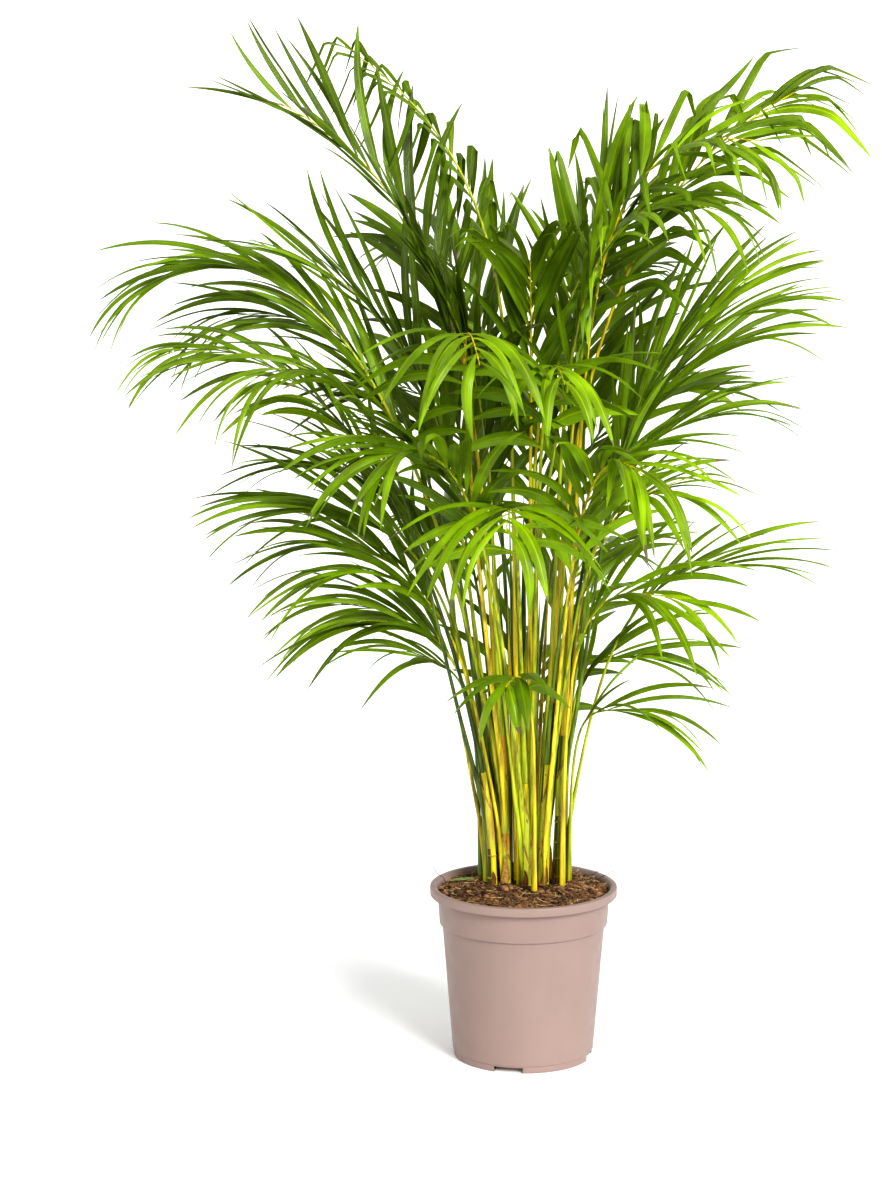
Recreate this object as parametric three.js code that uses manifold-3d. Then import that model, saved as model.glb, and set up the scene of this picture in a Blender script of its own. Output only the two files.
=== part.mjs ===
// A potted areca palm, about 1.2 m tall, in a round plastic nursery pot 21 cm across.
// Millimetres, +Z up, -Y towards the viewer. The origin is the middle of the pot's flat underside.
// The pot and its potting soil are turned shapes. Twelve canes rise from the soil in one clump.
// Each frond is a rib with leaflets, which starts at a cane's tip or side, or from the soil.
import * as THREE from "three";
import { mergeVertices } from "three/addons/utils/BufferGeometryUtils.js";
import Module from "manifold-3d";

const wasm = await Module();
wasm.setup();

// Driving sizes of the pot
const RIM_RADIUS = 105;
const POT_HEIGHT = 196;
const LIP_HEIGHT = 10;
const COLLAR_HEIGHT = 33;
const COLLAR_TOP_RADIUS = 97;
const COLLAR_FOOT_RADIUS = 94.4;
const BODY_TOP_RADIUS = 91.5;
const BODY_FOOT_RADIUS = 79.4;
const FOOT_RADIUS = 78;
const FOOT_HEIGHT = 7;
const WALL = 2;
const DRAIN_SLOTS = 4;
const DRAIN_SLOT_WIDTH = 33;
const DRAIN_SLOT_HEIGHT = 6.4;
const FIRST_SLOT_ANGLE = -102;

// Driving sizes of the soil, which is mounded round the clump
const SOIL_EDGE_DROP = 9;
const MOUND_HEIGHT = 197;
const MOUND_RADIUS = 66;

// Driving sizes of the plant: what touches keeps GAP, and leaflets keep LEAF_CLEARANCE from
// everything but their own frond
const GAP = 0.3;
const LEAF_CLEARANCE = 0.5;
const SISTER_CLEARANCE = 0.05;
const RIB_CLEARANCE = 1.2;
const CANE_TIP_SHARE = 0.86;
const CANE_FLARE_SHARE = 0.22;
const CANE_FLARE_HEIGHT = 16;
const RIB_TIP_RADIUS = 1.4;
const RIB_STEPS = 7;
const SPLAY_DEGREES = 7;
const LEAFLET_HALF_WIDTH = 17;
const LEAFLET_NECK = 0.8;
const LEAFLET_THICKNESS_SHARE = 0.008;
const STRONG_DROOP = 0.82;
const SMALLEST_DETAIL = 0.05;

const UP = new THREE.Vector3(0, 0, 1);
const degrees = THREE.MathUtils.degToRad;

const plastic = new THREE.MeshStandardMaterial({ color: 0xb79d92, roughness: 0.5, metalness: 0 });
const soilBrown = new THREE.MeshStandardMaterial({ color: 0x4a3524, roughness: 0.95, metalness: 0 });
const caneYellow = new THREE.MeshStandardMaterial({ color: 0xc3b31c, roughness: 0.45, metalness: 0 });
const leafGreen = new THREE.MeshStandardMaterial({ color: 0x5a9a14, roughness: 0.42, metalness: 0 });

function solidOf(geometry) {
  const bare = geometry.clone();
  bare.deleteAttribute("normal");
  bare.deleteAttribute("uv");
  const merged = mergeVertices(bare, 1e-4);
  return new wasm.Manifold(
    new wasm.Mesh({
      numProp: 3,
      vertProperties: new Float32Array(merged.attributes.position.array),
      triVerts: new Uint32Array(merged.index.array),
    }),
  );
}

// A named mesh, placed at its seat, with its geometry round that point
function meshOf(name, solid, material, seat = new THREE.Vector3()) {
  const { vertProperties, triVerts } = solid.getMesh();
  const geometry = new THREE.BufferGeometry();
  geometry.setAttribute("position", new THREE.BufferAttribute(vertProperties, 3));
  geometry.setIndex(new THREE.BufferAttribute(triVerts, 1));
  geometry.translate(-seat.x, -seat.y, -seat.z);
  geometry.computeVertexNormals();
  const mesh = new THREE.Mesh(geometry, material);
  mesh.name = name;
  mesh.position.copy(seat);
  return mesh;
}

// A profile of [radius, height] points, from the axis back to the axis, turned about +Z
function turned(profile, sides) {
  const points = profile.map(([r, z]) => new THREE.Vector2(r, z));
  return new THREE.LatheGeometry(points, sides).rotateX(Math.PI / 2);
}

// Lays an upright unit cylinder along a path: place(t) gives the path's point and the two
// directions across it, and section(t) the size along each of them
function swept(sides, steps, tipRadius, place, section) {
  const geometry = new THREE.CylinderGeometry(tipRadius, 1, 1, sides, steps);
  const position = geometry.attributes.position;
  for (let i = 0; i < position.count; i++) {
    const t = position.getY(i) + 0.5;
    const shrink = 1 + t * (tipRadius - 1);
    const { point, across, outward } = place(t);
    const [wide, thick] = section(t);
    const x = (position.getX(i) / shrink || 0) * wide;
    const z = (position.getZ(i) / shrink || 0) * thick;
    const v = point.clone().addScaledVector(across, x).addScaledVector(outward, z);
    position.setXYZ(i, v.x, v.y, v.z);
  }
  return geometry;
}

// Pot: a flat floor and a tapering wall with a stepped collar and a lip. Drain slots are cut
// through the foot of the wall and the edge of the floor.
function potSolid() {
  const lipFoot = POT_HEIGHT - LIP_HEIGHT;
  const collarFoot = lipFoot - COLLAR_HEIGHT;
  const shell = turned(
    [
      [0, 0],
      [FOOT_RADIUS, 0],
      [FOOT_RADIUS, FOOT_HEIGHT],
      [BODY_FOOT_RADIUS, FOOT_HEIGHT + 0.8],
      [BODY_TOP_RADIUS, collarFoot],
      [COLLAR_FOOT_RADIUS, collarFoot + 1.5],
      [COLLAR_TOP_RADIUS, lipFoot],
      [RIM_RADIUS - 0.5, lipFoot],
      [RIM_RADIUS, POT_HEIGHT - 1.5],
      [RIM_RADIUS - 1.5, POT_HEIGHT],
      [COLLAR_TOP_RADIUS - WALL + 3, POT_HEIGHT],
      [COLLAR_TOP_RADIUS - WALL, lipFoot],
      [BODY_TOP_RADIUS - WALL, collarFoot],
      [FOOT_RADIUS - WALL, WALL],
      [0, WALL],
    ],
    44,
  );
  let pot = solidOf(shell);
  for (let i = 0; i < DRAIN_SLOTS; i++) {
    const slot = new THREE.BoxGeometry(30, DRAIN_SLOT_WIDTH, 2 * DRAIN_SLOT_HEIGHT);
    slot.translate(FOOT_RADIUS, 0, 0);
    slot.rotateZ(degrees(FIRST_SLOT_ANGLE + (360 * i) / DRAIN_SLOTS));
    pot = pot.subtract(solidOf(slot));
  }
  return pot;
}

// Soil: fills the pot to just under the lip, and rises to a flat mound round the clump
function soilSolid() {
  const lipFoot = POT_HEIGHT - LIP_HEIGHT;
  const collarFoot = lipFoot - COLLAR_HEIGHT;
  const inset = WALL + GAP;
  return solidOf(
    turned(
      [
        [0, inset],
        [FOOT_RADIUS - inset, inset],
        [BODY_TOP_RADIUS - inset, collarFoot],
        [COLLAR_TOP_RADIUS - inset, lipFoot],
        [COLLAR_TOP_RADIUS - inset, POT_HEIGHT - SOIL_EDGE_DROP],
        [MOUND_RADIUS, MOUND_HEIGHT],
        [0, MOUND_HEIGHT],
      ],
      36,
    ),
  );
}

// Canes: [name, foot x, foot y, tip x, tip y, height over the soil, radius at the foot]
const CANES = [
  ["cane_front_left", -35, -4, -47, -8, 130, 4.9],
  ["cane_left_inner", -20, 4, -26, 1, 170, 4.9],
  ["cane_left_outer", -42, 18, -46, 20, 90, 3.6],
  ["cane_front", 3, -9, 1, -16, 120, 4.4],
  ["cane_middle", 8, 12, 7, 10, 220, 5.2],
  ["cane_front_right", 21, -4, 25, -10, 140, 4.5],
  ["cane_right_inner", 38, 6, 44, 3, 170, 4.9],
  ["cane_right_outer", 44, 21, 46, 22, 80, 3.6],
  ["cane_left_rear", -27, 30, -32, 35, 190, 4.9],
  ["cane_rear_middle", -6, 30, -9, 33, 230, 5.1],
  ["cane_right_rear", 25, 28, 30, 32, 200, 5.1],
  ["cane_back", 10, 47, 12, 62, 140, 4.5],
].map(([name, footX, footY, tipX, tipY, height, radius]) => {
  const foot = new THREE.Vector3(footX, footY, MOUND_HEIGHT + GAP);
  const tip = new THREE.Vector3(tipX, tipY, MOUND_HEIGHT + height);
  const lean = new THREE.Vector3(tipX - footX, tipY - footY, 0).multiplyScalar(2 / 3);
  const path = new THREE.CubicBezierCurve3(
    foot,
    foot.clone().addScaledVector(UP, height / 3),
    tip.clone().addScaledVector(UP, -height / 3).addScaledVector(lean, -1),
    tip,
  );
  const radiusAt = (t) => {
    const flare = 1 + CANE_FLARE_SHARE * Math.exp((-t * height) / CANE_FLARE_HEIGHT);
    return radius * (1 + (CANE_TIP_SHARE - 1) * t) * flare;
  };
  return { name, path, radiusAt };
});

function caneSolid({ path, radiusAt }) {
  const place = (t) => {
    const along = path.getTangent(t);
    const across = new THREE.Vector3(0, 1, 0).cross(along).normalize();
    return { point: path.getPoint(t), across, outward: across.clone().cross(along) };
  };
  return solidOf(swept(6, 6, 1, place, (t) => [radiusAt(t), radiusAt(t)]));
}

// Fronds: [name, cane, how far up it, rib tip x, y, z, slope of the rib at its tip, how steeply
// it rises, bare share of the rib, leaflet length, pairs of leaflets, lift of the leaflets over
// the blade's plane, how far that plane is rolled to face the front, the leaflets' opening angle
// from the rib, their droop]. Where the cane is null, the frond is a shoot from the soil, and the
// next value is the place of its foot, [x, y].
const FRONDS = [
  ["frond_crown_left_long", "cane_left_rear", 1, -265, -40, 1065, 26, 0.46, 0.42, 175, 8, 35, 45, 36, 0.08],
  ["frond_crown_left", "cane_rear_middle", 1, -200, 60, 1125, 34, 0.56, 0.54, 135, 8, 20, 15, 42, 0.8],
  ["frond_crown_right_long", "cane_right_rear", 1, 290, 30, 1075, 28, 0.44, 0.54, 185, 9, 25, 40, 30, 0.9],
  ["frond_crown_right", "cane_right_inner", 1, 250, -60, 1025, -8, 0.58, 0.36, 160, 8, 25, 30, 56, 0.6],
  ["frond_crown_rear_right", "cane_middle", 1, 145, 40, 985, 42, 0.5, 0.6, 160, 7, 20, 70, 44, 0.15],
  ["frond_crown_spear", "cane_rear_middle", 0.92, 85, 80, 965, 80, 0.5, 0.58, 200, 5, 10, 0, 14, 0.1],
  ["frond_crown_middle", "cane_middle", 0.92, 4, -90, 900, 45, 0.5, 0.54, 170, 6, 20, 0, 24, 0.6],
  ["frond_crown_mid_left", "cane_left_inner", 1, -85, -50, 855, 60, 0.5, 0.46, 170, 6, 30, 20, 22, 0.5],

  ["frond_left_high", "cane_left_rear", 0.9, -235, 20, 890, 28, 0.42, 0.3, 205, 7, 35, 25, 27, 0.25],
  ["frond_left_long", "cane_left_inner", 0.9, -400, 0, 875, -24, 0.46, 0.41, 200, 8, 15, 30, 15, 0.75],
  ["frond_left_mid_long", "cane_left_rear", 0.6, -320, 60, 830, -8, 0.46, 0.42, 195, 7, 15, 30, 20, 0.85],
  ["frond_left_low_long", "cane_front_left", 1, -380, -50, 800, -8, 0.4, 0.45, 155, 8, 5, 30, 28, 0.85],
  ["frond_left_front", "cane_front_left", 0.9, -285, -140, 780, -18, 0.48, 0.5, 180, 6, 10, 20, 26, 1.1],
  ["frond_left_middle", "cane_left_rear", 0.2, -245, 70, 660, 2, 0.5, 0.44, 190, 6, 8, 15, 12, 0.55],
  ["frond_left_outer", "cane_left_outer", 1, -245, -20, 625, 5, 0.62, 0.43, 200, 6, 10, 30, 15, 0.5],
  ["frond_left_inner", "cane_front", 0.45, -175, -100, 695, -10, 0.52, 0.42, 135, 5, 15, 20, 24, 0.9],
  ["frond_left_low_rear", "cane_left_outer", 0.8, -220, 50, 575, 0, 0.62, 0.44, 190, 5, 15, 30, 17, 0.7],
  ["frond_left_low_front", "cane_left_inner", 0.35, -200, -50, 560, 0, 0.6, 0.46, 190, 5, 10, 25, 16, 0.75],
  ["frond_left_shoot_rear", null, [-44, 33], -205, 30, 510, 8, 0.72, 0.42, 165, 5, 15, 30, 17, 0.75],
  ["frond_left_shoot_front", null, [-43, 7], -180, -50, 505, 5, 0.75, 0.5, 180, 5, 10, 25, 16, 0.9],
  ["frond_left_shoot_low", null, [-49, 24], -130, -15, 465, 20, 0.8, 0.62, 140, 3, 10, 20, 20, 0.75],

  ["frond_right_droop", "cane_middle", 0.25, 200, -110, 955, -12, 0.52, 0.4, 170, 6, 8, 20, 34, 1.1],
  ["frond_right_high", "cane_right_rear", 0.9, 235, 40, 865, 30, 0.45, 0.48, 180, 7, 30, 25, 20, 0.35],
  ["frond_right_long", "cane_right_inner", 0.9, 240, -50, 845, 18, 0.48, 0.43, 190, 7, 20, 30, 20, 0.4],
  ["frond_right_rear", "cane_right_rear", 0.55, 245, 100, 805, 15, 0.48, 0.45, 180, 5, 20, 30, 18, 0.4],
  ["frond_right_middle", "cane_front_right", 1, 210, -10, 730, 12, 0.5, 0.43, 180, 6, 20, 15, 17, 0.55],
  ["frond_right_outer", "cane_right_outer", 1, 180, 50, 650, 15, 0.68, 0.37, 145, 5, 15, 10, 18, 0.8],
  ["frond_right_low_long", "cane_right_outer", 0.78, 230, 5, 560, 5, 0.6, 0.45, 180, 5, 15, 12, 11, 0.4],
  ["frond_right_wide", "cane_front_right", 0.84, 160, -130, 655, -5, 0.55, 0.44, 150, 5, 10, 20, 38, 1.2],
  ["frond_right_shoot_front", null, [44, -7], 170, -80, 535, -5, 0.9, 0.38, 150, 5, 15, 25, 28, 0.9],
  ["frond_right_shoot_rear", null, [48, 36], 145, 45, 450, 0, 0.95, 0.4, 160, 4, 15, 25, 18, 0.8],
  ["frond_right_shoot_low", null, [52, 11], 130, -20, 400, 5, 1, 0.45, 140, 3, 15, 20, 22, 0.8],

  ["frond_front_fan_low", "cane_front", 1, -20, -190, 625, -35, 0.72, 0.46, 155, 7, 12, 0, 70, 1.3],
  ["frond_front_fan_high", "cane_left_inner", 0.78, -47, -250, 805, -35, 0.7, 0.43, 140, 7, 10, 0, 68, 1.25],
  ["frond_front_fan_right", "cane_middle", 0.55, 40, -200, 780, -25, 0.65, 0.48, 135, 7, 8, 0, 52, 1.1],
  ["frond_front_left", "cane_front", 0.86, -150, -210, 700, -15, 0.6, 0.42, 180, 5, 15, 0, 32, 0.8],
  ["frond_front_right", "cane_front_right", 0.4, 120, -220, 690, -15, 0.6, 0.42, 180, 5, 15, 0, 32, 0.8],
  ["frond_front_shoot", null, [12, -32], -20, -90, 440, -30, 0.55, 0.62, 95, 2, 10, 0, 58, 1.6],

  ["frond_back_high_left", "cane_rear_middle", 0.82, -120, 240, 900, 5, 0.52, 0.48, 205, 5, 25, 25, 26, 0.4],
  ["frond_back_high_right", "cane_right_rear", 0.66, 110, 260, 870, 5, 0.52, 0.45, 200, 5, 25, 25, 26, 0.4],
  ["frond_back_left", "cane_back", 0.9, -170, 230, 740, 0, 0.52, 0.44, 190, 5, 20, 25, 30, 0.4],
  ["frond_back_right", "cane_back", 1, 170, 220, 740, 0, 0.52, 0.46, 190, 5, 20, 25, 30, 0.4],
  ["frond_back_middle", "cane_back", 0.78, 10, 290, 720, -5, 0.56, 0.44, 190, 4, 15, 25, 28, 0.5],
  ["frond_back_low_left", "cane_left_rear", 0.5, -100, 240, 590, -5, 0.56, 0.43, 175, 4, 15, 25, 30, 0.5],
  ["frond_back_low_right", "cane_back", 0.3, 100, 240, 550, -5, 0.56, 0.44, 175, 4, 15, 25, 30, 0.5],
  ["frond_back_shoot", null, [14, 66], 20, 180, 440, 0, 0.6, 0.4, 155, 5, 15, 25, 40, 0.6],
];

// A rib's path bows sideways by the first of these that clears every cane and rib before it
const BOWS = [0, 10, -10, 20, -20, 30, -30, 42, -42, 55, -55, 70, -70];
const TRACE_STEPS = 160;
const traces = [];

function traceOf(path, radiusAt) {
  const trace = [];
  for (let i = 0; i <= TRACE_STEPS; i++) {
    const t = i / TRACE_STEPS;
    trace.push({ point: path.getPoint(t), radius: radiusAt(t) });
  }
  return trace;
}

function isClear(trace) {
  return traces.every((other) =>
    other.every((b) =>
      trace.every((a) => {
        const least = a.radius + b.radius + RIB_CLEARANCE;
        return a.point.distanceToSquared(b.point) > least * least;
      }),
    ),
  );
}

for (const cane of CANES) traces.push(traceOf(cane.path, cane.radiusAt));

function frondOf(row) {
  const [name, caneName, place, x, y, z, slope, rise] = row;
  const tip = new THREE.Vector3(x, y, z);
  const cane = CANES.find((c) => c.name === caneName);
  const start = cane
    ? cane.path.getPoint(place)
    : new THREE.Vector3(place[0], place[1], MOUND_HEIGHT + GAP);
  const out = tip.clone().sub(start).setZ(0).normalize();
  const chord = start.distanceTo(tip);
  const footRadius = 1.7 + chord / 330;
  const radiusAt = (t) => footRadius + (RIB_TIP_RADIUS - footRadius) * t;
  const first = cane ? cane.path.getTangent(place) : UP.clone();
  let own = 0;
  if (cane && place < 1) {
    start.addScaledVector(out, cane.radiusAt(place) + footRadius + GAP);
    first.addScaledVector(out, Math.tan(degrees(SPLAY_DEGREES))).normalize();
    own = 0.12;
  } else if (cane) {
    start.addScaledVector(first, GAP);
    own = 0.02;
  }
  const last = out.clone().multiplyScalar(Math.cos(degrees(slope)));
  last.addScaledVector(UP, Math.sin(degrees(slope)));
  const across = UP.clone().cross(out);
  let path;
  for (const bow of BOWS) {
    path = new THREE.CubicBezierCurve3(
      start,
      start.clone().addScaledVector(first, chord * rise).addScaledVector(across, bow / 2),
      tip.clone().addScaledVector(last, -chord * 0.33).addScaledVector(across, bow),
      tip,
    );
    const trace = traceOf(path, radiusAt).slice(Math.ceil(own * TRACE_STEPS));
    if (isClear(trace)) {
      traces.push(trace);
      return { name, row, path, across, facing: Math.sign(out.x), radiusAt };
    }
  }
  throw new Error(`${name} has no clear way`);
}

function ribSolid({ path, across, radiusAt }) {
  const place = (t) => {
    const along = path.getTangent(t);
    const flat = across.clone().addScaledVector(along, -across.dot(along)).normalize();
    flat.negate();
    return { point: path.getPoint(t), across: flat, outward: flat.clone().cross(along) };
  };
  return solidOf(swept(3, RIB_STEPS, 0.5, place, (t) => [radiusAt(t), radiusAt(t)]));
}

// The middle of the faceted rib, between two of its rings
function onRib(path, t) {
  const ring = Math.floor(t * RIB_STEPS);
  const next = path.getPoint((ring + 1) / RIB_STEPS);
  return path.getPoint(ring / RIB_STEPS).lerp(next, t * RIB_STEPS - ring);
}

// One leaflet: it leaves the rib at an angle that closes towards the tip, and droops
function leafletSolid({ row, path, across, facing, radiusAt }, u, hand, turn) {
  const [bare, length, , lift, roll, opening, droop] = row.slice(8);
  const t = bare + (1 - bare) * u;
  const along = path.getTangent(t);
  const flat = across.clone().addScaledVector(along, -across.dot(along)).normalize();
  flat.applyAxisAngle(along, degrees(roll) * facing);
  const above = along.clone().cross(flat);
  const open = degrees(opening * (1.1 - 0.6 * u));
  const raise = degrees(lift * (1 - 0.6 * u) + turn);
  const heading = along.clone().multiplyScalar(Math.cos(open));
  heading.addScaledVector(flat, hand * Math.cos(raise) * Math.sin(open));
  heading.addScaledVector(above, Math.sin(raise) * Math.sin(open));
  const fall = UP.clone().multiplyScalar(-droop).addScaledVector(heading, droop * heading.z);
  const reach = (length * (0.65 + 1.5 * u - 1.55 * u * u)) / (1 + 0.667 * fall.lengthSq());
  const foot = onRib(path, t);
  const blade = along.clone().addScaledVector(heading, -along.dot(heading)).normalize();
  const place = (t) => {
    const w = Math.pow(t, 1.6);
    const point = foot.clone().addScaledVector(heading, reach * w).addScaledVector(fall, reach * w * w);
    const course = heading.clone().addScaledVector(fall, 2 * w).normalize();
    const wide = blade.clone().addScaledVector(course, -blade.dot(course)).normalize();
    return { point, across: wide, outward: wide.clone().cross(course) };
  };
  const ribRadius = radiusAt(t);
  const section = (t) => {
    const w = Math.pow(t, 1.6);
    const half = LEAFLET_NECK + LEAFLET_HALF_WIDTH * Math.sqrt(w) * (1 - Math.pow(w, 1.6));
    return [half, t < 0.1 ? ribRadius * 0.25 : length * LEAFLET_THICKNESS_SHARE];
  };
  return solidOf(swept(3, droop > STRONG_DROOP ? 3 : 2, 0, place, section));
}

const bodies = [];
const canes = new THREE.Group();
canes.name = "canes";
for (const cane of CANES) {
  const solid = caneSolid(cane);
  bodies.push({ owner: cane.name, solid, box: solid.boundingBox() });
  canes.add(meshOf(cane.name, solid, caneYellow, cane.path.getPoint(0)));
}
const fronds = FRONDS.map(frondOf);
for (const frond of fronds) {
  frond.rib = ribSolid(frond);
  bodies.push({ owner: frond.name, solid: frond.rib, box: frond.rib.boundingBox() });
}

function clashes(solid, frond) {
  const box = solid.boundingBox();
  return bodies.some((body) => {
    if (body.solid === frond.rib) return false;
    const least = body.owner === frond.name ? SISTER_CLEARANCE : LEAF_CLEARANCE;
    for (let k = 0; k < 3; k++) {
      if (body.box.min[k] > box.max[k] + least) return false;
      if (body.box.max[k] < box.min[k] - least) return false;
    }
    return solid.minGap(body.solid, least) < least;
  });
}

// Leaflets stand in pairs, set a little apart. One that would touch another part of the plant is
// turned about the rib, and is left out where no turn clears it.
const TURNS = [0, 12, -12, 24, -24];
const crown = new THREE.Group();
crown.name = "crown";
for (const frond of fronds) {
  const pairs = frond.row[10];
  let whole = frond.rib;
  for (let i = 0; i < 2 * pairs; i++) {
    const hand = i % 2 ? 1 : -1;
    const u = (i + 0.5) / (2 * pairs);
    for (const turn of TURNS) {
      const leaflet = leafletSolid(frond, u, hand, turn);
      if (clashes(leaflet, frond)) continue;
      bodies.push({ owner: frond.name, solid: leaflet, box: leaflet.boundingBox() });
      whole = whole.add(leaflet);
      break;
    }
  }
  crown.add(meshOf(frond.name, whole.simplify(SMALLEST_DETAIL), leafGreen, frond.path.getPoint(0)));
}

const group = new THREE.Group();
group.name = "potted_areca_palm";
group.add(meshOf("pot", potSolid(), plastic));
group.add(meshOf("potting_soil", soilSolid(), soilBrown));
group.add(canes);
group.add(crown);

export default group;
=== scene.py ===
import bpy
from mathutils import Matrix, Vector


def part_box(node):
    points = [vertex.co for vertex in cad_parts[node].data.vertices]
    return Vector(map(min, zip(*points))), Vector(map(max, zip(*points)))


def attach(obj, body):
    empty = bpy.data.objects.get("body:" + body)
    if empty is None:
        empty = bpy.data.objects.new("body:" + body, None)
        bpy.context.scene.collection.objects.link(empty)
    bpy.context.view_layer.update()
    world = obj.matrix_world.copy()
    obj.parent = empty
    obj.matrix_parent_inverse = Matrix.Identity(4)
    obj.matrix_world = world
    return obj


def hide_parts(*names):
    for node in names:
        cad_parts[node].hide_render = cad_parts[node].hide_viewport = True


bl_info = {
    "name": "Potted Areca Palm",
    "version": (1, 0, 0),
    "blender": (4, 5, 0),
    "location": "3D Viewport > Sidebar > Palm",
    "description": "Dresses a potted areca palm: pot, soil, canes, ribs and leaflets, with its stage",
    "category": "Object",
}

import functools
import math
from dataclasses import dataclass

import bmesh
import bpy
import numpy as np
from bpy.props import FloatProperty, FloatVectorProperty, IntProperty, PointerProperty
from bpy.types import Operator, Panel, PropertyGroup
from mathutils import Matrix, Vector, noise

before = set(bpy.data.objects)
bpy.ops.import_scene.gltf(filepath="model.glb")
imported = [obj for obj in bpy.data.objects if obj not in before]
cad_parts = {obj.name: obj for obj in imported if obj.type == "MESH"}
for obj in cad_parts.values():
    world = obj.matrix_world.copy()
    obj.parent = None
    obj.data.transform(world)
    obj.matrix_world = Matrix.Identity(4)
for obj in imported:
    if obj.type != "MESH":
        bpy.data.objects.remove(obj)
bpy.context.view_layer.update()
POT_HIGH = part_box("pot")[1]
SOIL_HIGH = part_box("potting_soil")[1]
BODY = "root"
SEED = 41

# How the plant grows, in metres and degrees. The rows are the part's own: the fronds' ribs and
# leaflets follow its rule, with more and finer leaflets.
GAP = 0.0003
RIB_CLEARANCE = 0.0012
RIB_FOOT_RADIUS = 0.0017
RIB_SLENDERNESS = 330
RIB_TIP_RADIUS = 0.0014
RIB_TIP_REACH = 0.33
SPLAY_DEGREES = 7
CANE_TIP_SHARE = 0.86
CANE_FLARE_SHARE = 0.22
CANE_FLARE_HEIGHT = 0.016
MOUND_HEIGHT = SOIL_HIGH.z
UP = np.array([0.0, 0.0, 1.0])

# Canes: name less "cane_", foot x and y, tip x and y, height over the soil, radius at the foot,
# coat, of which the darkest is painted shade on the canes at the rear of the clump
CANES = [
    ("front_left", -0.035, -0.004, -0.047, -0.008, 0.13, 0.0049, "yellow"),
    ("left_inner", -0.02, 0.004, -0.026, 0.001, 0.17, 0.0049, "amber"),
    ("left_outer", -0.042, 0.018, -0.046, 0.02, 0.09, 0.0036, "olive"),
    ("front", 0.003, -0.009, 0.001, -0.016, 0.12, 0.0044, "yellow"),
    ("middle", 0.008, 0.012, 0.007, 0.01, 0.22, 0.0052, "amber"),
    ("front_right", 0.021, -0.004, 0.025, -0.01, 0.14, 0.0045, "yellow"),
    ("right_inner", 0.038, 0.006, 0.044, 0.003, 0.17, 0.0049, "olive"),
    ("right_outer", 0.044, 0.021, 0.046, 0.022, 0.08, 0.0036, "yellow"),
    ("left_rear", -0.027, 0.03, -0.032, 0.035, 0.19, 0.0049, "shadowed"),
    ("rear_middle", -0.006, 0.03, -0.009, 0.033, 0.23, 0.0051, "amber"),
    ("right_rear", 0.025, 0.028, 0.03, 0.032, 0.2, 0.0051, "shadowed"),
    ("back", 0.01, 0.047, 0.012, 0.062, 0.14, 0.0045, "shadowed"),
]

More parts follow.
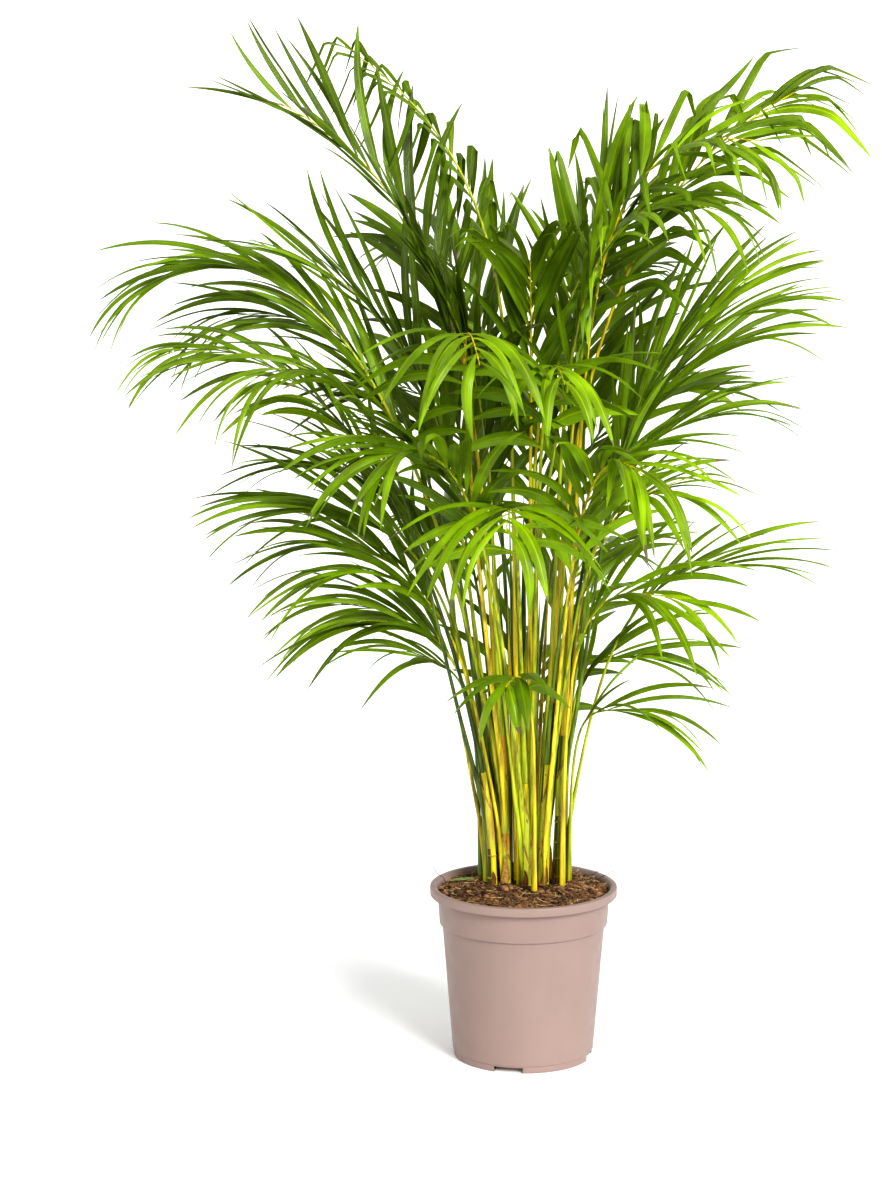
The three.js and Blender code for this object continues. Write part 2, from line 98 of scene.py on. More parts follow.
# Fronds: name less "frond_", cane, how far up it (or, for a shoot, the place of its foot), rib tip
# x, y and z, slope of the rib at its tip, how steeply it rises, bare share of the rib, leaflet
# length, lift of the leaflets over the blade's plane, how far that plane is rolled to face the
# front, the leaflets' opening angle from the rib, their droop
FRONDS = [
    ("crown_left_long", "left_rear", 1, -0.265, -0.04, 1.065, 26, 0.46, 0.42, 0.175, 35, 45, 36, 0.08),
    ("crown_left", "rear_middle", 1, -0.2, 0.06, 1.125, 34, 0.56, 0.54, 0.135, 20, 15, 42, 0.8),
    ("crown_right_long", "right_rear", 1, 0.29, 0.03, 1.075, 28, 0.44, 0.54, 0.185, 25, 40, 30, 0.9),
    ("crown_right", "right_inner", 1, 0.25, -0.06, 1.025, -8, 0.58, 0.36, 0.16, 25, 30, 56, 0.6),
    ("crown_rear_right", "middle", 1, 0.145, 0.04, 0.985, 42, 0.5, 0.6, 0.16, 20, 70, 44, 0.15),
    ("crown_spear", "rear_middle", 0.92, 0.085, 0.08, 0.965, 80, 0.5, 0.58, 0.2, 10, 0, 14, 0.1),
    ("crown_middle", "middle", 0.92, 0.004, -0.09, 0.9, 45, 0.5, 0.54, 0.17, 20, 0, 24, 0.6),
    ("crown_mid_left", "left_inner", 1, -0.085, -0.05, 0.855, 60, 0.5, 0.46, 0.17, 30, 20, 22, 0.5),
    ("left_high", "left_rear", 0.9, -0.235, 0.02, 0.89, 28, 0.42, 0.3, 0.205, 35, 25, 27, 0.25),
    ("left_long", "left_inner", 0.9, -0.4, 0, 0.875, -24, 0.46, 0.41, 0.2, 15, 30, 15, 0.75),
    ("left_mid_long", "left_rear", 0.6, -0.32, 0.06, 0.83, -8, 0.46, 0.42, 0.195, 15, 30, 20, 0.85),
    ("left_low_long", "front_left", 1, -0.38, -0.05, 0.8, -8, 0.4, 0.45, 0.155, 5, 30, 28, 0.85),
    ("left_front", "front_left", 0.9, -0.285, -0.14, 0.78, -18, 0.48, 0.5, 0.18, 10, 20, 26, 1.1),
    ("left_middle", "left_rear", 0.2, -0.245, 0.07, 0.66, 2, 0.5, 0.44, 0.19, 8, 15, 12, 0.55),
    ("left_outer", "left_outer", 1, -0.245, -0.02, 0.625, 5, 0.62, 0.43, 0.2, 10, 30, 15, 0.5),
    ("left_inner", "front", 0.45, -0.175, -0.1, 0.695, -10, 0.52, 0.42, 0.135, 15, 20, 24, 0.9),
    ("left_low_rear", "left_outer", 0.8, -0.22, 0.05, 0.575, 0, 0.62, 0.44, 0.19, 15, 30, 17, 0.7),
    ("left_low_front", "left_inner", 0.35, -0.2, -0.05, 0.56, 0, 0.6, 0.46, 0.19, 10, 25, 16, 0.75),
    ("left_shoot_rear", None, (-0.044, 0.033), -0.205, 0.03, 0.51, 8, 0.72, 0.42, 0.165, 15, 30, 17, 0.75),
    ("left_shoot_front", None, (-0.043, 0.007), -0.18, -0.05, 0.505, 5, 0.75, 0.5, 0.18, 10, 25, 16, 0.9),
    ("left_shoot_low", None, (-0.049, 0.024), -0.13, -0.015, 0.465, 20, 0.8, 0.62, 0.14, 10, 20, 20, 0.75),
    ("right_droop", "middle", 0.25, 0.2, -0.11, 0.955, -12, 0.52, 0.4, 0.17, 8, 20, 34, 1.1),
    ("right_high", "right_rear", 0.9, 0.235, 0.04, 0.865, 30, 0.45, 0.48, 0.18, 30, 25, 20, 0.35),
    ("right_long", "right_inner", 0.9, 0.24, -0.05, 0.845, 18, 0.48, 0.43, 0.19, 20, 30, 20, 0.4),
    ("right_rear", "right_rear", 0.55, 0.245, 0.1, 0.805, 15, 0.48, 0.45, 0.18, 20, 30, 18, 0.4),
    ("right_middle", "front_right", 1, 0.21, -0.01, 0.73, 12, 0.5, 0.43, 0.18, 20, 15, 17, 0.55),
    ("right_outer", "right_outer", 1, 0.18, 0.05, 0.65, 15, 0.68, 0.37, 0.145, 15, 10, 18, 0.8),
    ("right_low_long", "right_outer", 0.78, 0.23, 0.005, 0.56, 5, 0.6, 0.45, 0.18, 15, 12, 11, 0.4),
    ("right_wide", "front_right", 0.84, 0.16, -0.13, 0.655, -5, 0.55, 0.44, 0.15, 10, 20, 38, 1.2),
    ("right_shoot_front", None, (0.044, -0.007), 0.17, -0.08, 0.535, -5, 0.9, 0.38, 0.15, 15, 25, 28, 0.9),
    ("right_shoot_rear", None, (0.048, 0.036), 0.145, 0.045, 0.45, 0, 0.95, 0.4, 0.16, 15, 25, 18, 0.8),
    ("right_shoot_low", None, (0.052, 0.011), 0.13, -0.02, 0.4, 5, 1, 0.45, 0.14, 15, 20, 22, 0.8),
    ("front_fan_low", "front", 1, -0.02, -0.19, 0.625, -35, 0.72, 0.46, 0.155, 12, 0, 70, 1.3),
    ("front_fan_high", "left_inner", 0.78, -0.047, -0.25, 0.805, -35, 0.7, 0.43, 0.14, 10, 0, 68, 1.25),
    ("front_fan_right", "middle", 0.55, 0.04, -0.2, 0.78, -25, 0.65, 0.48, 0.135, 8, 0, 52, 1.1),
    ("front_left", "front", 0.86, -0.15, -0.21, 0.7, -15, 0.6, 0.42, 0.18, 15, 0, 32, 0.8),
    ("front_right", "front_right", 0.4, 0.12, -0.22, 0.69, -15, 0.6, 0.42, 0.18, 15, 0, 32, 0.8),
    ("front_shoot", None, (0.012, -0.032), -0.02, -0.09, 0.44, -30, 0.55, 0.62, 0.095, 10, 0, 58, 1.6),
    ("back_high_left", "rear_middle", 0.82, -0.12, 0.24, 0.9, 5, 0.52, 0.48, 0.205, 25, 25, 26, 0.4),
    ("back_high_right", "right_rear", 0.66, 0.11, 0.26, 0.87, 5, 0.52, 0.45, 0.2, 25, 25, 26, 0.4),
    ("back_left", "back", 0.9, -0.17, 0.23, 0.74, 0, 0.52, 0.44, 0.19, 20, 25, 30, 0.4),
    ("back_right", "back", 1, 0.17, 0.22, 0.74, 0, 0.52, 0.46, 0.19, 20, 25, 30, 0.4),
    ("back_middle", "back", 0.78, 0.01, 0.29, 0.72, -5, 0.56, 0.44, 0.19, 15, 25, 28, 0.5),
    ("back_low_left", "left_rear", 0.5, -0.1, 0.24, 0.59, -5, 0.56, 0.43, 0.175, 15, 25, 30, 0.5),
    ("back_low_right", "back", 0.3, 0.1, 0.24, 0.55, -5, 0.56, 0.44, 0.175, 15, 25, 30, 0.5),
    ("back_shoot", None, (0.014, 0.066), 0.02, 0.18, 0.44, 0, 0.6, 0.4, 0.155, 15, 25, 40, 0.6),
]

# Fronds whose leaflets fold over: from what share of their length, and how sharply
FOLDED_TIPS = {
    "crown_left": (0.32, 2.8),
    "crown_right_long": (0.5, 0.7),
    "crown_right": (0.68, 2.4),
    "crown_rear_right": (0.9, 3.0),
    "crown_middle": (0.8, 1.6),
}

# The parts of the crown. Widths of the leaflets in each, as shares of the middling width, and the
# fronds whose leaflets are broader than the rest of their part, by how many times
GROUPS = ("crown", "left", "right", "front", "back")
WIDTHS = {"crown": 0.95, "left": 0.7, "right": 0.7, "front": 1.05, "back": 1.0}
BROAD_FRONDS = {
    "right_wide": 1.6,
    "right_shoot_front": 1.5,
    "front_fan_low": 1.3,
    "front_fan_high": 1.25,
    "front_fan_right": 1.2,
    "front_shoot": 1.9,
}

# Spacing of the leaflets in each part of the crown, as shares of the middling spacing, and in the
# fronds that differ from the rest of their part
SPACINGS = {"crown": 1.1, "left": 1.05, "right": 1.2, "front": 0.9, "back": 1.0}
OWN_SPACINGS = {
    "crown_left_long": 1.2,
    "crown_rear_right": 1.25,
    "crown_spear": 2.4,
    "left_long": 1.45,
    "left_mid_long": 1.1,
    "left_front": 1.35,
    "left_inner": 1.4,
    "left_low_long": 1.1,
    "left_middle": 1.3,
    "left_low_front": 1.15,
    "left_shoot_rear": 1.25,
    "right_droop": 1.6,
    "right_high": 1.6,
    "right_long": 1.4,
    "right_rear": 1.5,
    "right_outer": 2.4,
    "right_wide": 1.8,
    "right_shoot_rear": 0.85,
    "right_shoot_low": 0.85,
    "front_fan_low": 1.0,
    "front_fan_high": 1.2,
    "front_fan_right": 1.3,
}

# How bright a frond's green is, from 0 to 1, where its place doesn't tell; the brightness is
# partly the leaves' own green and partly painted light and shade: those that hang open towards
# the front are fresh and painted as lit, and the tall ones at the left are dark with painted shade
TONES = {
    "crown_left_long": 0.3,
    "crown_left": 0.4,
    "crown_mid_left": 0.25,
    "right_wide": 0.8,
    "right_shoot_front": 0.75,
    "front_fan_low": 1.0,
    "front_fan_high": 0.75,
    "front_fan_right": 0.85,
    "front_shoot": 0.65,
}


# Helpers for growth


def unit(v):
    return v / np.linalg.norm(v, axis=-1, keepdims=True)


def cross_free(v, axis):
    """v with its share along axis taken out, at unit length."""
    return unit(v - axis * np.sum(v * axis, axis=-1, keepdims=True))


def bezier(handles, t):
    """Points and unit tangents of a cubic Bezier at each t."""
    t = np.asarray(t, float)[..., None]
    s = 1 - t
    a, b, c, d = handles
    point = s**3 * a + 3 * s * s * t * b + 3 * s * t * t * c + t**3 * d
    tangent = s * s * (b - a) + 2 * s * t * (c - b) + t * t * (d - c)
    return point, unit(tangent)


def smooth(x):
    x = np.clip(x, 0, 1)
    return x * x * (3 - 2 * x)


@dataclass
class Cane:
    """One cane of the clump, and where its axis runs."""

    name: str
    handles: list
    height: float
    foot_radius: float
    coat: str

    def radius(self, t):
        flare = 1 + CANE_FLARE_SHARE * np.exp(-t * self.height / CANE_FLARE_HEIGHT)
        return self.foot_radius * (1 + (CANE_TIP_SHARE - 1) * t) * flare


@dataclass
class Frond:
    """One frond: its rib's path, and the rule that its leaflets follow."""

    name: str
    cane: Cane
    place: float
    handles: list
    out: np.ndarray
    across: np.ndarray
    chord: float
    bare: float
    leaflet_length: float
    lift: float
    roll: float
    opening: float
    droop: float

    @property
    def group(self):
        """The part of the crown that it belongs to."""
        return self.name.split("_")[1]

    @property
    def on_side(self):
        """Whether it leaves the side of its cane, not the cane's tip or the soil."""
        return self.cane is not None and self.place < 1

    def own(self, table, usual):
        """What a table of single fronds says of this one, or else what is usual."""
        return table.get(self.name.removeprefix("frond_"), usual)

    def radius(self, t):
        foot = RIB_FOOT_RADIUS + self.chord / RIB_SLENDERNESS
        return foot + (RIB_TIP_RADIUS - foot) * t

    def blade_length(self):
        points, _ = bezier(self.handles, np.linspace(self.bare, 1, 24))
        return np.linalg.norm(np.diff(points, axis=0), axis=1).sum()


def cane_of(row):
    name, foot_x, foot_y, tip_x, tip_y, height, radius, coat = row
    foot = np.array([foot_x, foot_y, MOUND_HEIGHT + GAP])
    tip = np.array([tip_x, tip_y, MOUND_HEIGHT + height])
    lean = np.array([tip_x - foot_x, tip_y - foot_y, 0]) * 2 / 3
    handles = [foot, foot + UP * height / 3, tip - UP * height / 3 - lean, tip]
    return Cane("cane_" + name, handles, height, radius, coat)


# How finely a path is traced, how much of a rib may run close to the cane that it stands on or
# leaves, and the sideways bows that are tried in turn
TRACE_STEPS = 160
SHARE_ON_TIP = 0.02
SHARE_ON_SIDE = 0.12
BOWS = (0, 0.01, -0.01, 0.02, -0.02, 0.03, -0.03, 0.042, -0.042, 0.055, -0.055, 0.07, -0.07)


def trace_of(grown):
    """Points along a cane or frond, and its radius at each."""
    t = np.linspace(0, 1, TRACE_STEPS + 1)
    return bezier(grown.handles, t)[0], grown.radius(t)


def is_clear(trace, others):
    points, radii = trace
    for other_points, other_radii in others:
        apart = ((points[:, None] - other_points[None]) ** 2).sum(axis=2)
        if (apart <= (radii[:, None] + other_radii[None] + RIB_CLEARANCE) ** 2).any():
            return False
    return True


def frond_of(row, canes, traces):
    """A rib bows sideways by the first amount that clears every cane and rib before it."""
    name, cane_name, place, x, y, z, slope, rise, *rule = row
    tip = np.array([x, y, z])
    cane = canes.get(cane_name)
    if cane:
        start, first = bezier(cane.handles, place)
    else:
        start, first = np.array([*place, MOUND_HEIGHT + GAP]), UP
    out = unit((tip - start) * [1, 1, 0])
    across = np.cross(UP, out)
    chord = np.linalg.norm(tip - start)
    frond = Frond("frond_" + name, cane, place if cane else 0, None, out, across, chord, *rule)
    close = 0
    if frond.on_side:
        start = start + out * (cane.radius(place) + frond.radius(0) + GAP)
        first = unit(first + out * math.tan(math.radians(SPLAY_DEGREES)))
        close = SHARE_ON_SIDE
    elif cane:
        start = start + first * GAP
        close = SHARE_ON_TIP
    last = out * math.cos(math.radians(slope)) + UP * math.sin(math.radians(slope))
    for bow in BOWS:
        bent = start + first * chord * rise + across * bow / 2
        frond.handles = [start, bent, tip - last * chord * RIB_TIP_REACH + across * bow, tip]
        skip = math.ceil(close * TRACE_STEPS)
        trace = [each[skip:] for each in trace_of(frond)]
        if is_clear(trace, traces):
            traces.append(trace)
            return frond
    raise RuntimeError(f"{frond.name} has no clear way")


@functools.cache
def growth():
    """Every cane of the palm, by its name in the table, and every frond."""
    canes = {row[0]: cane_of(row) for row in CANES}
    traces = [trace_of(cane) for cane in canes.values()]
    fronds = [frond_of(row, canes, traces) for row in FRONDS]
    return canes, fronds


def crown_parts():
    """The parts of the crown, each with its fronds."""
    fronds = growth()[1]
    return {group: [f for f in fronds if f.group == group] for group in GROUPS}


# Helpers for meshes and materials

# Points closer together than this are one: in a finished mesh, and in one that a sheet is rolled
# or a profile is spun into
POINT_WELD = 1e-6
ROUND_WELD = 1e-5


class Sheets:
    """Gathers many small grids of points, and makes one joined mesh of them."""

    def __init__(self):
        self.points, self.quads, self.uvs, self.materials = [], [], [], []
        self.count = 0

    def add(self, grid, material=0, closed=False, flip=False):
        """grid has rows x columns points. A closed one is a tube, whose columns run round it.
        material is one index, or one for each gap between two rows."""
        rows, columns = grid.shape[:2]
        width = columns if closed else columns - 1
        i = np.arange(rows - 1)[:, None]
        j = np.arange(width)[None]
        a, b = i * columns + j, i * columns + (j + 1) % columns
        quads = np.stack([a, b, b + columns, a + columns], axis=-1).reshape(-1, 4)
        if flip:
            quads = quads[:, ::-1]
        v, u = np.mgrid[0:rows, 0:columns]
        uv = np.stack([u / width, v / (rows - 1)], axis=-1).reshape(-1, 2)
        self.points.append(grid.reshape(-1, 3))
        self.uvs.append(uv[quads.ravel()])
        self.quads.append(quads + self.count)
        each_row = np.broadcast_to(material, (rows - 1,))
        self.materials.append(np.repeat(each_row, width))
        self.count += rows * columns

    def make(self, name, finishes):
        mesh = bpy.data.meshes.new(name)
        mesh.from_pydata(np.concatenate(self.points), [], np.concatenate(self.quads).tolist())
        layer = mesh.uv_layers.new(name="UVMap")
        layer.data.foreach_set("uv", np.concatenate(self.uvs).astype(np.float32).ravel())
        places = np.concatenate(self.materials).astype(np.int32)
        mesh.polygons.foreach_set("material_index", places)
        return finish_piece(name, mesh, finishes)


def mesh_of(name, bm):
    mesh = bpy.data.meshes.new(name)
    bm.to_mesh(mesh)
    bm.free()
    return mesh


def finish_piece(name, mesh, finishes, sharp_degrees=60):
    """Welds a mesh's doubled points, and makes it an object of the palm's one body."""
    bm = bmesh.new()
    bm.from_mesh(mesh)
    bmesh.ops.remove_doubles(bm, verts=bm.verts, dist=POINT_WELD)
    bm.to_mesh(mesh)
    bm.free()
    for finish in finishes:
        mesh.materials.append(finish)
    mesh.shade_smooth()
    mesh.set_sharp_from_angle(angle=math.radians(sharp_degrees))
    piece = bpy.data.objects.new(name, mesh)
    bpy.context.scene.collection.objects.link(piece)
    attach(piece, BODY)
    return piece


def tube(points, first_side, radii, sides, flat_top=0.0):
    """Rings round each of the points, squared to the line that they follow, and closed at both
    ends. first_side is a direction across it, and flat_top the share that its back is cut by."""
    course = unit(np.gradient(points, axis=0))
    side = cross_free(np.broadcast_to(first_side, points.shape), course)
    above = np.cross(course, side)
    angle = np.linspace(0, 2 * np.pi, sides, endpoint=False)
    wide, high = np.cos(angle), np.sin(angle)
    high = np.where(high > 0, high * (1 - flat_top), high)
    radii = np.broadcast_to(radii, len(points))[:, None, None]
    rings = side[:, None] * wide[None, :, None] + above[:, None] * high[None, :, None]
    rings = points[:, None] + rings * radii
    ends = [np.repeat(points[k][None, None], sides, axis=1) for k in (0, -1)]
    return np.concatenate([ends[0], rings, ends[1]])


def spun(profile, steps):
    """A bmesh of a profile of (radius, height) points, turned round the upright axis."""
    bm = bmesh.new()
    line = [bm.verts.new((radius, 0, height)) for radius, height in profile]
    edges = [bm.edges.new(pair) for pair in zip(line, line[1:])]
    turn = {"cent": (0, 0, 0), "axis": (0, 0, 1), "angle": 2 * math.pi, "steps": steps}
    bmesh.ops.spin(bm, geom=line + edges, use_merge=True, **turn)
    bmesh.ops.remove_doubles(bm, verts=bm.verts, dist=ROUND_WELD)
    bmesh.ops.recalc_face_normals(bm, faces=bm.faces)
    return bm


class Finish:
    """A material's node tree, with short calls that add and link its nodes."""

    def __init__(self, name, colour, roughness, shine=0.5):
        self.material = bpy.data.materials.new(name)
        self.material.use_nodes = True
        self.material.diffuse_color = (*colour, 1)
        self.tree = self.material.node_tree
        self.shader = self.tree.nodes["Principled BSDF"]
        self.shader.inputs["Base Color"].default_value = (*colour, 1)
        self.shader.inputs["Roughness"].default_value = roughness
        self.shader.inputs["Specular IOR Level"].default_value = shine
        self.place = self.node("ShaderNodeTexCoord")

    def node(self, kind, inputs=(), **settings):
        made = self.tree.nodes.new(kind)
        for key, value in settings.items():
            setattr(made, key, value)
        for key, value in dict(inputs).items():
            if is_socket(value):
                self.tree.links.new(value, made.inputs[key])
            else:
                made.inputs[key].default_value = value
        return made

    def math(self, operation, *values):
        return self.node("ShaderNodeMath", enumerate(values), operation=operation).outputs[0]

    def spread(self, value, low, high, to_low=0.0, to_high=1.0):
        """value's range from low to high, laid over to_low to to_high and held there."""
        ends = {"From Min": low, "From Max": high, "To Min": to_low, "To Max": to_high}
        return self.node("ShaderNodeMapRange", {"Value": value, **ends}).outputs[0]

    def mix(self, share, a, b):
        sockets = {0: share, 6: a if is_socket(a) else (*a, 1), 7: b if is_socket(b) else (*b, 1)}
        return self.node("ShaderNodeMix", sockets, data_type="RGBA").outputs[2]

    def noise(self, scale, detail=3, stretch=(1, 1, 1), roughness=0.5):
        inputs = {"Vector": self.place.outputs["Object"], "Scale": stretch}
        mapped = self.node("ShaderNodeMapping", inputs).outputs[0]
        inputs = {"Vector": mapped, "Scale": scale, "Detail": detail, "Roughness": roughness}
        return self.node("ShaderNodeTexNoise", inputs).outputs[0]

    def bump(self, height, strength, distance):
        inputs = {"Height": height, "Strength": strength, "Distance": distance}
        normal = self.node("ShaderNodeBump", inputs).outputs[0]
        self.tree.links.new(normal, self.shader.inputs["Normal"])

    def colour(self, socket):
        self.tree.links.new(socket, self.shader.inputs["Base Color"])

    def let_light_through(self, share, colour):
        thin = self.node("ShaderNodeBsdfTranslucent", {"Color": (*colour, 1)}).outputs[0]
        sockets = {0: share, 1: self.shader.outputs[0], 2: thin}
        both = self.node("ShaderNodeMixShader", sockets).outputs[0]
        self.tree.links.new(both, self.tree.nodes["Material Output"].inputs["Surface"])


def is_socket(value):
    return isinstance(value, bpy.types.NodeSocket)


def shade(colour, factor):
    return tuple(min(c * factor, 1.0) for c in colour)


# Finishes, whose noises are in waves to a metre


def plastic_finish(colour):
    """Moulded plastic: satin, with a faint mottle and the fine grain of the mould."""
    f = Finish("pot_plastic", colour, 0.44)
    mottle = f.noise(9, 4)
    flow = f.noise(5, 2, stretch=(6, 6, 0.7))
    tint = f.mix(f.spread(mottle, 0.3, 0.7), shade(colour, 0.93), shade(colour, 1.05))
    f.colour(f.mix(f.spread(flow, 0.55, 0.8, 0, 0.35), tint, shade(colour, 0.88)))
    rough = f.spread(f.noise(60, 2), 0.3, 0.7, 0.38, 0.5)
    f.tree.links.new(rough, f.shader.inputs["Roughness"])
    f.bump(f.noise(900, 2), 0.12, 0.0003)
    return f.material


def soil_finish(name, colour):
    """Moist soil: dark and pale lumps, with bright specks."""
    f = Finish(name, colour, 0.95)
    lumps = f.noise(140, 6, roughness=0.7)
    tint = f.mix(f.spread(lumps, 0.34, 0.62), shade(colour, 0.22), shade(colour, 1.35))
    f.colour(f.mix(f.spread(f.noise(420, 2), 0.62, 0.72), tint, shade(colour, 2.4)))
    f.bump(f.noise(520, 4), 0.8, 0.0012)
    return f.material


def fibre_finish(name, colour):
    """A dry, dull fibre, uneven in colour."""
    f = Finish(name, colour, 0.8)
    f.colour(f.mix(f.spread(f.noise(300, 2), 0.35, 0.65), shade(colour, 0.6), shade(colour, 1.15)))
    f.bump(f.noise(1500, 2), 0.3, 0.0002)
    return f.material


SPECK_BROWN = (0.075, 0.03, 0.012)


def cane_finish(name, colour, patches, specks):
    """A waxy stem: lengthwise streaks, patches of an older colour, and small dark specks, whose
    strength is the last value."""
    f = Finish(name, colour, 0.34)
    streaks = f.noise(16, 3, stretch=(14, 14, 0.8))
    tint = f.mix(f.spread(streaks, 0.36, 0.6), shade(colour, 0.42), shade(colour, 1.2))
    older = f.spread(f.noise(22, 4, stretch=(2, 2, 0.55)), 0.56, 0.7, 0, 0.85)
    tint = f.mix(older, tint, patches)
    spots = f.spread(f.noise(330, 2, stretch=(1, 1, 0.45)), 0.65, 0.69, 0, specks)
    f.colour(f.mix(spots, tint, SPECK_BROWN))
    f.bump(f.noise(90, 3, stretch=(6, 6, 0.5)), 0.25, 0.0008)
    return f.material


VEINS = 9


def leaf_finish(name, colour):
    """A leaflet: fine veins along it, a pale midrib, and light that glows through the blade."""
    f = Finish(name, colour, 0.3, 0.3)
    place = f.node("ShaderNodeSeparateXYZ", {0: f.place.outputs["UV"]}).outputs
    across, along = place["X"], place["Y"]
    veins = f.math("SINE", f.math("MULTIPLY", across, 2 * math.pi * VEINS))
    from_midrib = f.math("ABSOLUTE", f.math("SUBTRACT", across, 0.5))
    tint = f.mix(f.spread(f.noise(20, 3), 0.36, 0.64), shade(colour, 0.62), shade(colour, 1.32))
    tint = f.mix(f.spread(veins, -1, 1, 0, 0.22), tint, shade(colour, 0.6))
    pale = (colour[0] * 1.7 + 0.03, colour[1] * 1.25 + 0.04, colour[2] * 1.2)
    tint = f.mix(f.spread(from_midrib, 0.02, 0.07, 0.75, 0), tint, pale)
    tint = f.mix(f.spread(along, 0.0, 0.14, 0.6, 0), tint, pale)
    f.colour(tint)
    f.bump(veins, 0.3, 0.0003)
    f.let_light_through(0.18, (colour[0] * 1.5 + 0.02, colour[1] * 1.4, colour[2]))
    return f.material


# Pieces


class PalmPot(PropertyGroup):
    rim_radius: FloatProperty(
        name="Rim Radius",
        description="Outer radius of the pot's lip",
        default=POT_HIGH.x,
        unit="LENGTH",
    )
    height: FloatProperty(
        name="Height",
        description="Height of the pot",
        default=POT_HIGH.z,
        unit="LENGTH",
    )
    wall: FloatProperty(
        name="Wall",
        description="Thickness of the moulded wall",
        default=0.002,
        unit="LENGTH",
    )
    steps: IntProperty(
        name="Steps",
        description="Facets round the pot",
        default=144,
    )
    colour: FloatVectorProperty(
        name="Plastic",
        description="Colour of the moulded plastic",
        subtype="COLOR",
        default=(0.276, 0.200, 0.175),
    )


def arc(centre_radius, centre_height, radius, start, end, count):
    """Points of a round edge of a profile, between two angles in degrees."""
    angles = [math.radians(start + (end - start) * k / (count - 1)) for k in range(count)]
    return [
        (centre_radius + radius * math.cos(a), centre_height + radius * math.sin(a))
        for a in angles
    ]


# The pot's heights, from the lip down, how far each part's outside lies within the lip's, and the
# drain slots through its foot, the first of which is a little left of the front
LIP_HEIGHT = 0.010
COLLAR_HEIGHT = 0.033
FOOT_HEIGHT = 0.0072
COLLAR_INSET = 0.008
BODY_TOP_INSET = 0.0135
BODY_FOOT_INSET = 0.0256
FOOT_INSET = 0.027
SLOTS = 4
FIRST_SLOT_DEGREES = -102
SLOT_SIZE = (0.030, 0.033, 0.0128)


def pot_profile(rim, height, wall):
    """The pot from the middle of its underside, up its outside, over the lip and down inside. Its
    edges are rounded by arcs of about a millimetre, whose middles lie that far from them, and the
    lip's top rolls in by a broader one."""
    lip_foot = height - LIP_HEIGHT
    collar_foot = lip_foot - COLLAR_HEIGHT
    collar, foot = rim - COLLAR_INSET, rim - FOOT_INSET
    body_top, body_foot = rim - BODY_TOP_INSET, rim - BODY_FOOT_INSET
    return [
        (0, 0),
        (foot - 0.006, 0),
        *arc(foot - 0.0012, 0.0012, 0.0012, -90, 0, 4),
        (foot, FOOT_HEIGHT - 0.0006),
        *arc(foot + 0.0006, FOOT_HEIGHT, 0.0006, 180, 90, 3),
        *arc(body_foot - 0.0014, FOOT_HEIGHT + 0.0020, 0.0014, -60, 0, 4),
        (body_top - 0.0004, collar_foot - 0.002),
        *arc(body_top + 0.0006, collar_foot - 0.0014, 0.001, 180, 90, 4),
        *arc(collar - 0.0036, collar_foot + 0.0012, 0.0010, -60, 0, 4),
        (collar - 0.0006, lip_foot - 0.0012),
        *arc(collar + 0.0004, lip_foot - 0.0010, 0.0010, 180, 90, 4),
        *arc(rim - 0.0008, lip_foot + 0.0008, 0.0008, -90, 0, 4),
        *arc(rim - 0.0012, height - 0.0014, 0.0012, 0, 70, 4),
        *arc(rim - 0.0046, height - 0.0036, 0.0036, 75, 130, 6),
        (collar - wall + 0.0010, height - 0.0044),
        (collar - wall, lip_foot),
        (body_top - wall, collar_foot),
        (foot - wall, wall),
        (0, wall),
    ]


class PALM_OT_pot(Operator):
    """Turns the nursery pot, and cuts the drain slots through its foot"""

    bl_idname = "palm.pot"
    bl_label = "Pot"

    def execute(self, context):
        pot = context.scene.palm_pot
        profile = pot_profile(pot.rim_radius, pot.height, pot.wall)
        slots = bmesh.new()
        for k in range(SLOTS):
            turn = Matrix.Rotation(math.radians(FIRST_SLOT_DEGREES + 360 / SLOTS * k), 4, "Z")
            reach = Matrix.Translation((pot.rim_radius - FOOT_INSET, 0, 0))
            size = Matrix.Diagonal((*SLOT_SIZE, 1))
            bmesh.ops.create_cube(slots, size=1, matrix=turn @ reach @ size)
        whole = bpy.data.objects.new("whole_pot", mesh_of("whole_pot", spun(profile, pot.steps)))
        cutter = bpy.data.objects.new("drain_slots", mesh_of("drain_slots", slots))
        for item in (whole, cutter):
            context.scene.collection.objects.link(item)
        cut = whole.modifiers.new("Drain slots", "BOOLEAN")
        cut.object, cut.operation, cut.solver = cutter, "DIFFERENCE", "EXACT"
        depsgraph = context.evaluated_depsgraph_get()
        slotted = bpy.data.meshes.new_from_object(whole.evaluated_get(depsgraph))
        for item in (whole, cutter):
            bpy.data.objects.remove(item)
        piece = finish_piece("nursery_pot", slotted, [plastic_finish(pot.colour)], 38)
        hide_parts("pot")
        return {"FINISHED"}


class PalmSoil(PropertyGroup):
    crumbs: IntProperty(
        name="Crumbs",
        description="Loose crumbs of soil on the surface",
        default=2600,
    )
    fibres: IntProperty(
        name="Fibres",
        description="Fine fibres on the surface",
        default=420,
    )
    colour: FloatVectorProperty(
        name="Soil",
        description="Colour of the moist soil",
        subtype="COLOR",
        default=(0.182, 0.096, 0.044),
    )


# The soil's bed: its edge, its side and its underside in the pot, the mound round the clump and how
# far it falls to the edge, its lumps and hills with how many there are to a metre, and its mesh
EDGE_HEIGHT = SOIL_HIGH.z - 0.010
SIDE_HEIGHT = EDGE_HEIGHT - 0.008
SOIL_RADIUS = SOIL_HIGH.x - 0.0004
UNDERSIDE_RADIUS = 0.073
UNDERSIDE_HEIGHT = 0.006
MOUND_RADIUS = 0.066
MOUND_FALL = 0.0060
SETTLED = 0.0015
LUMP_HEIGHT = 0.0026
LUMPS = 60
HILL_HEIGHT = 0.0035
HILLS = 24
BED_RINGS = 70
BED_STEPS = 210

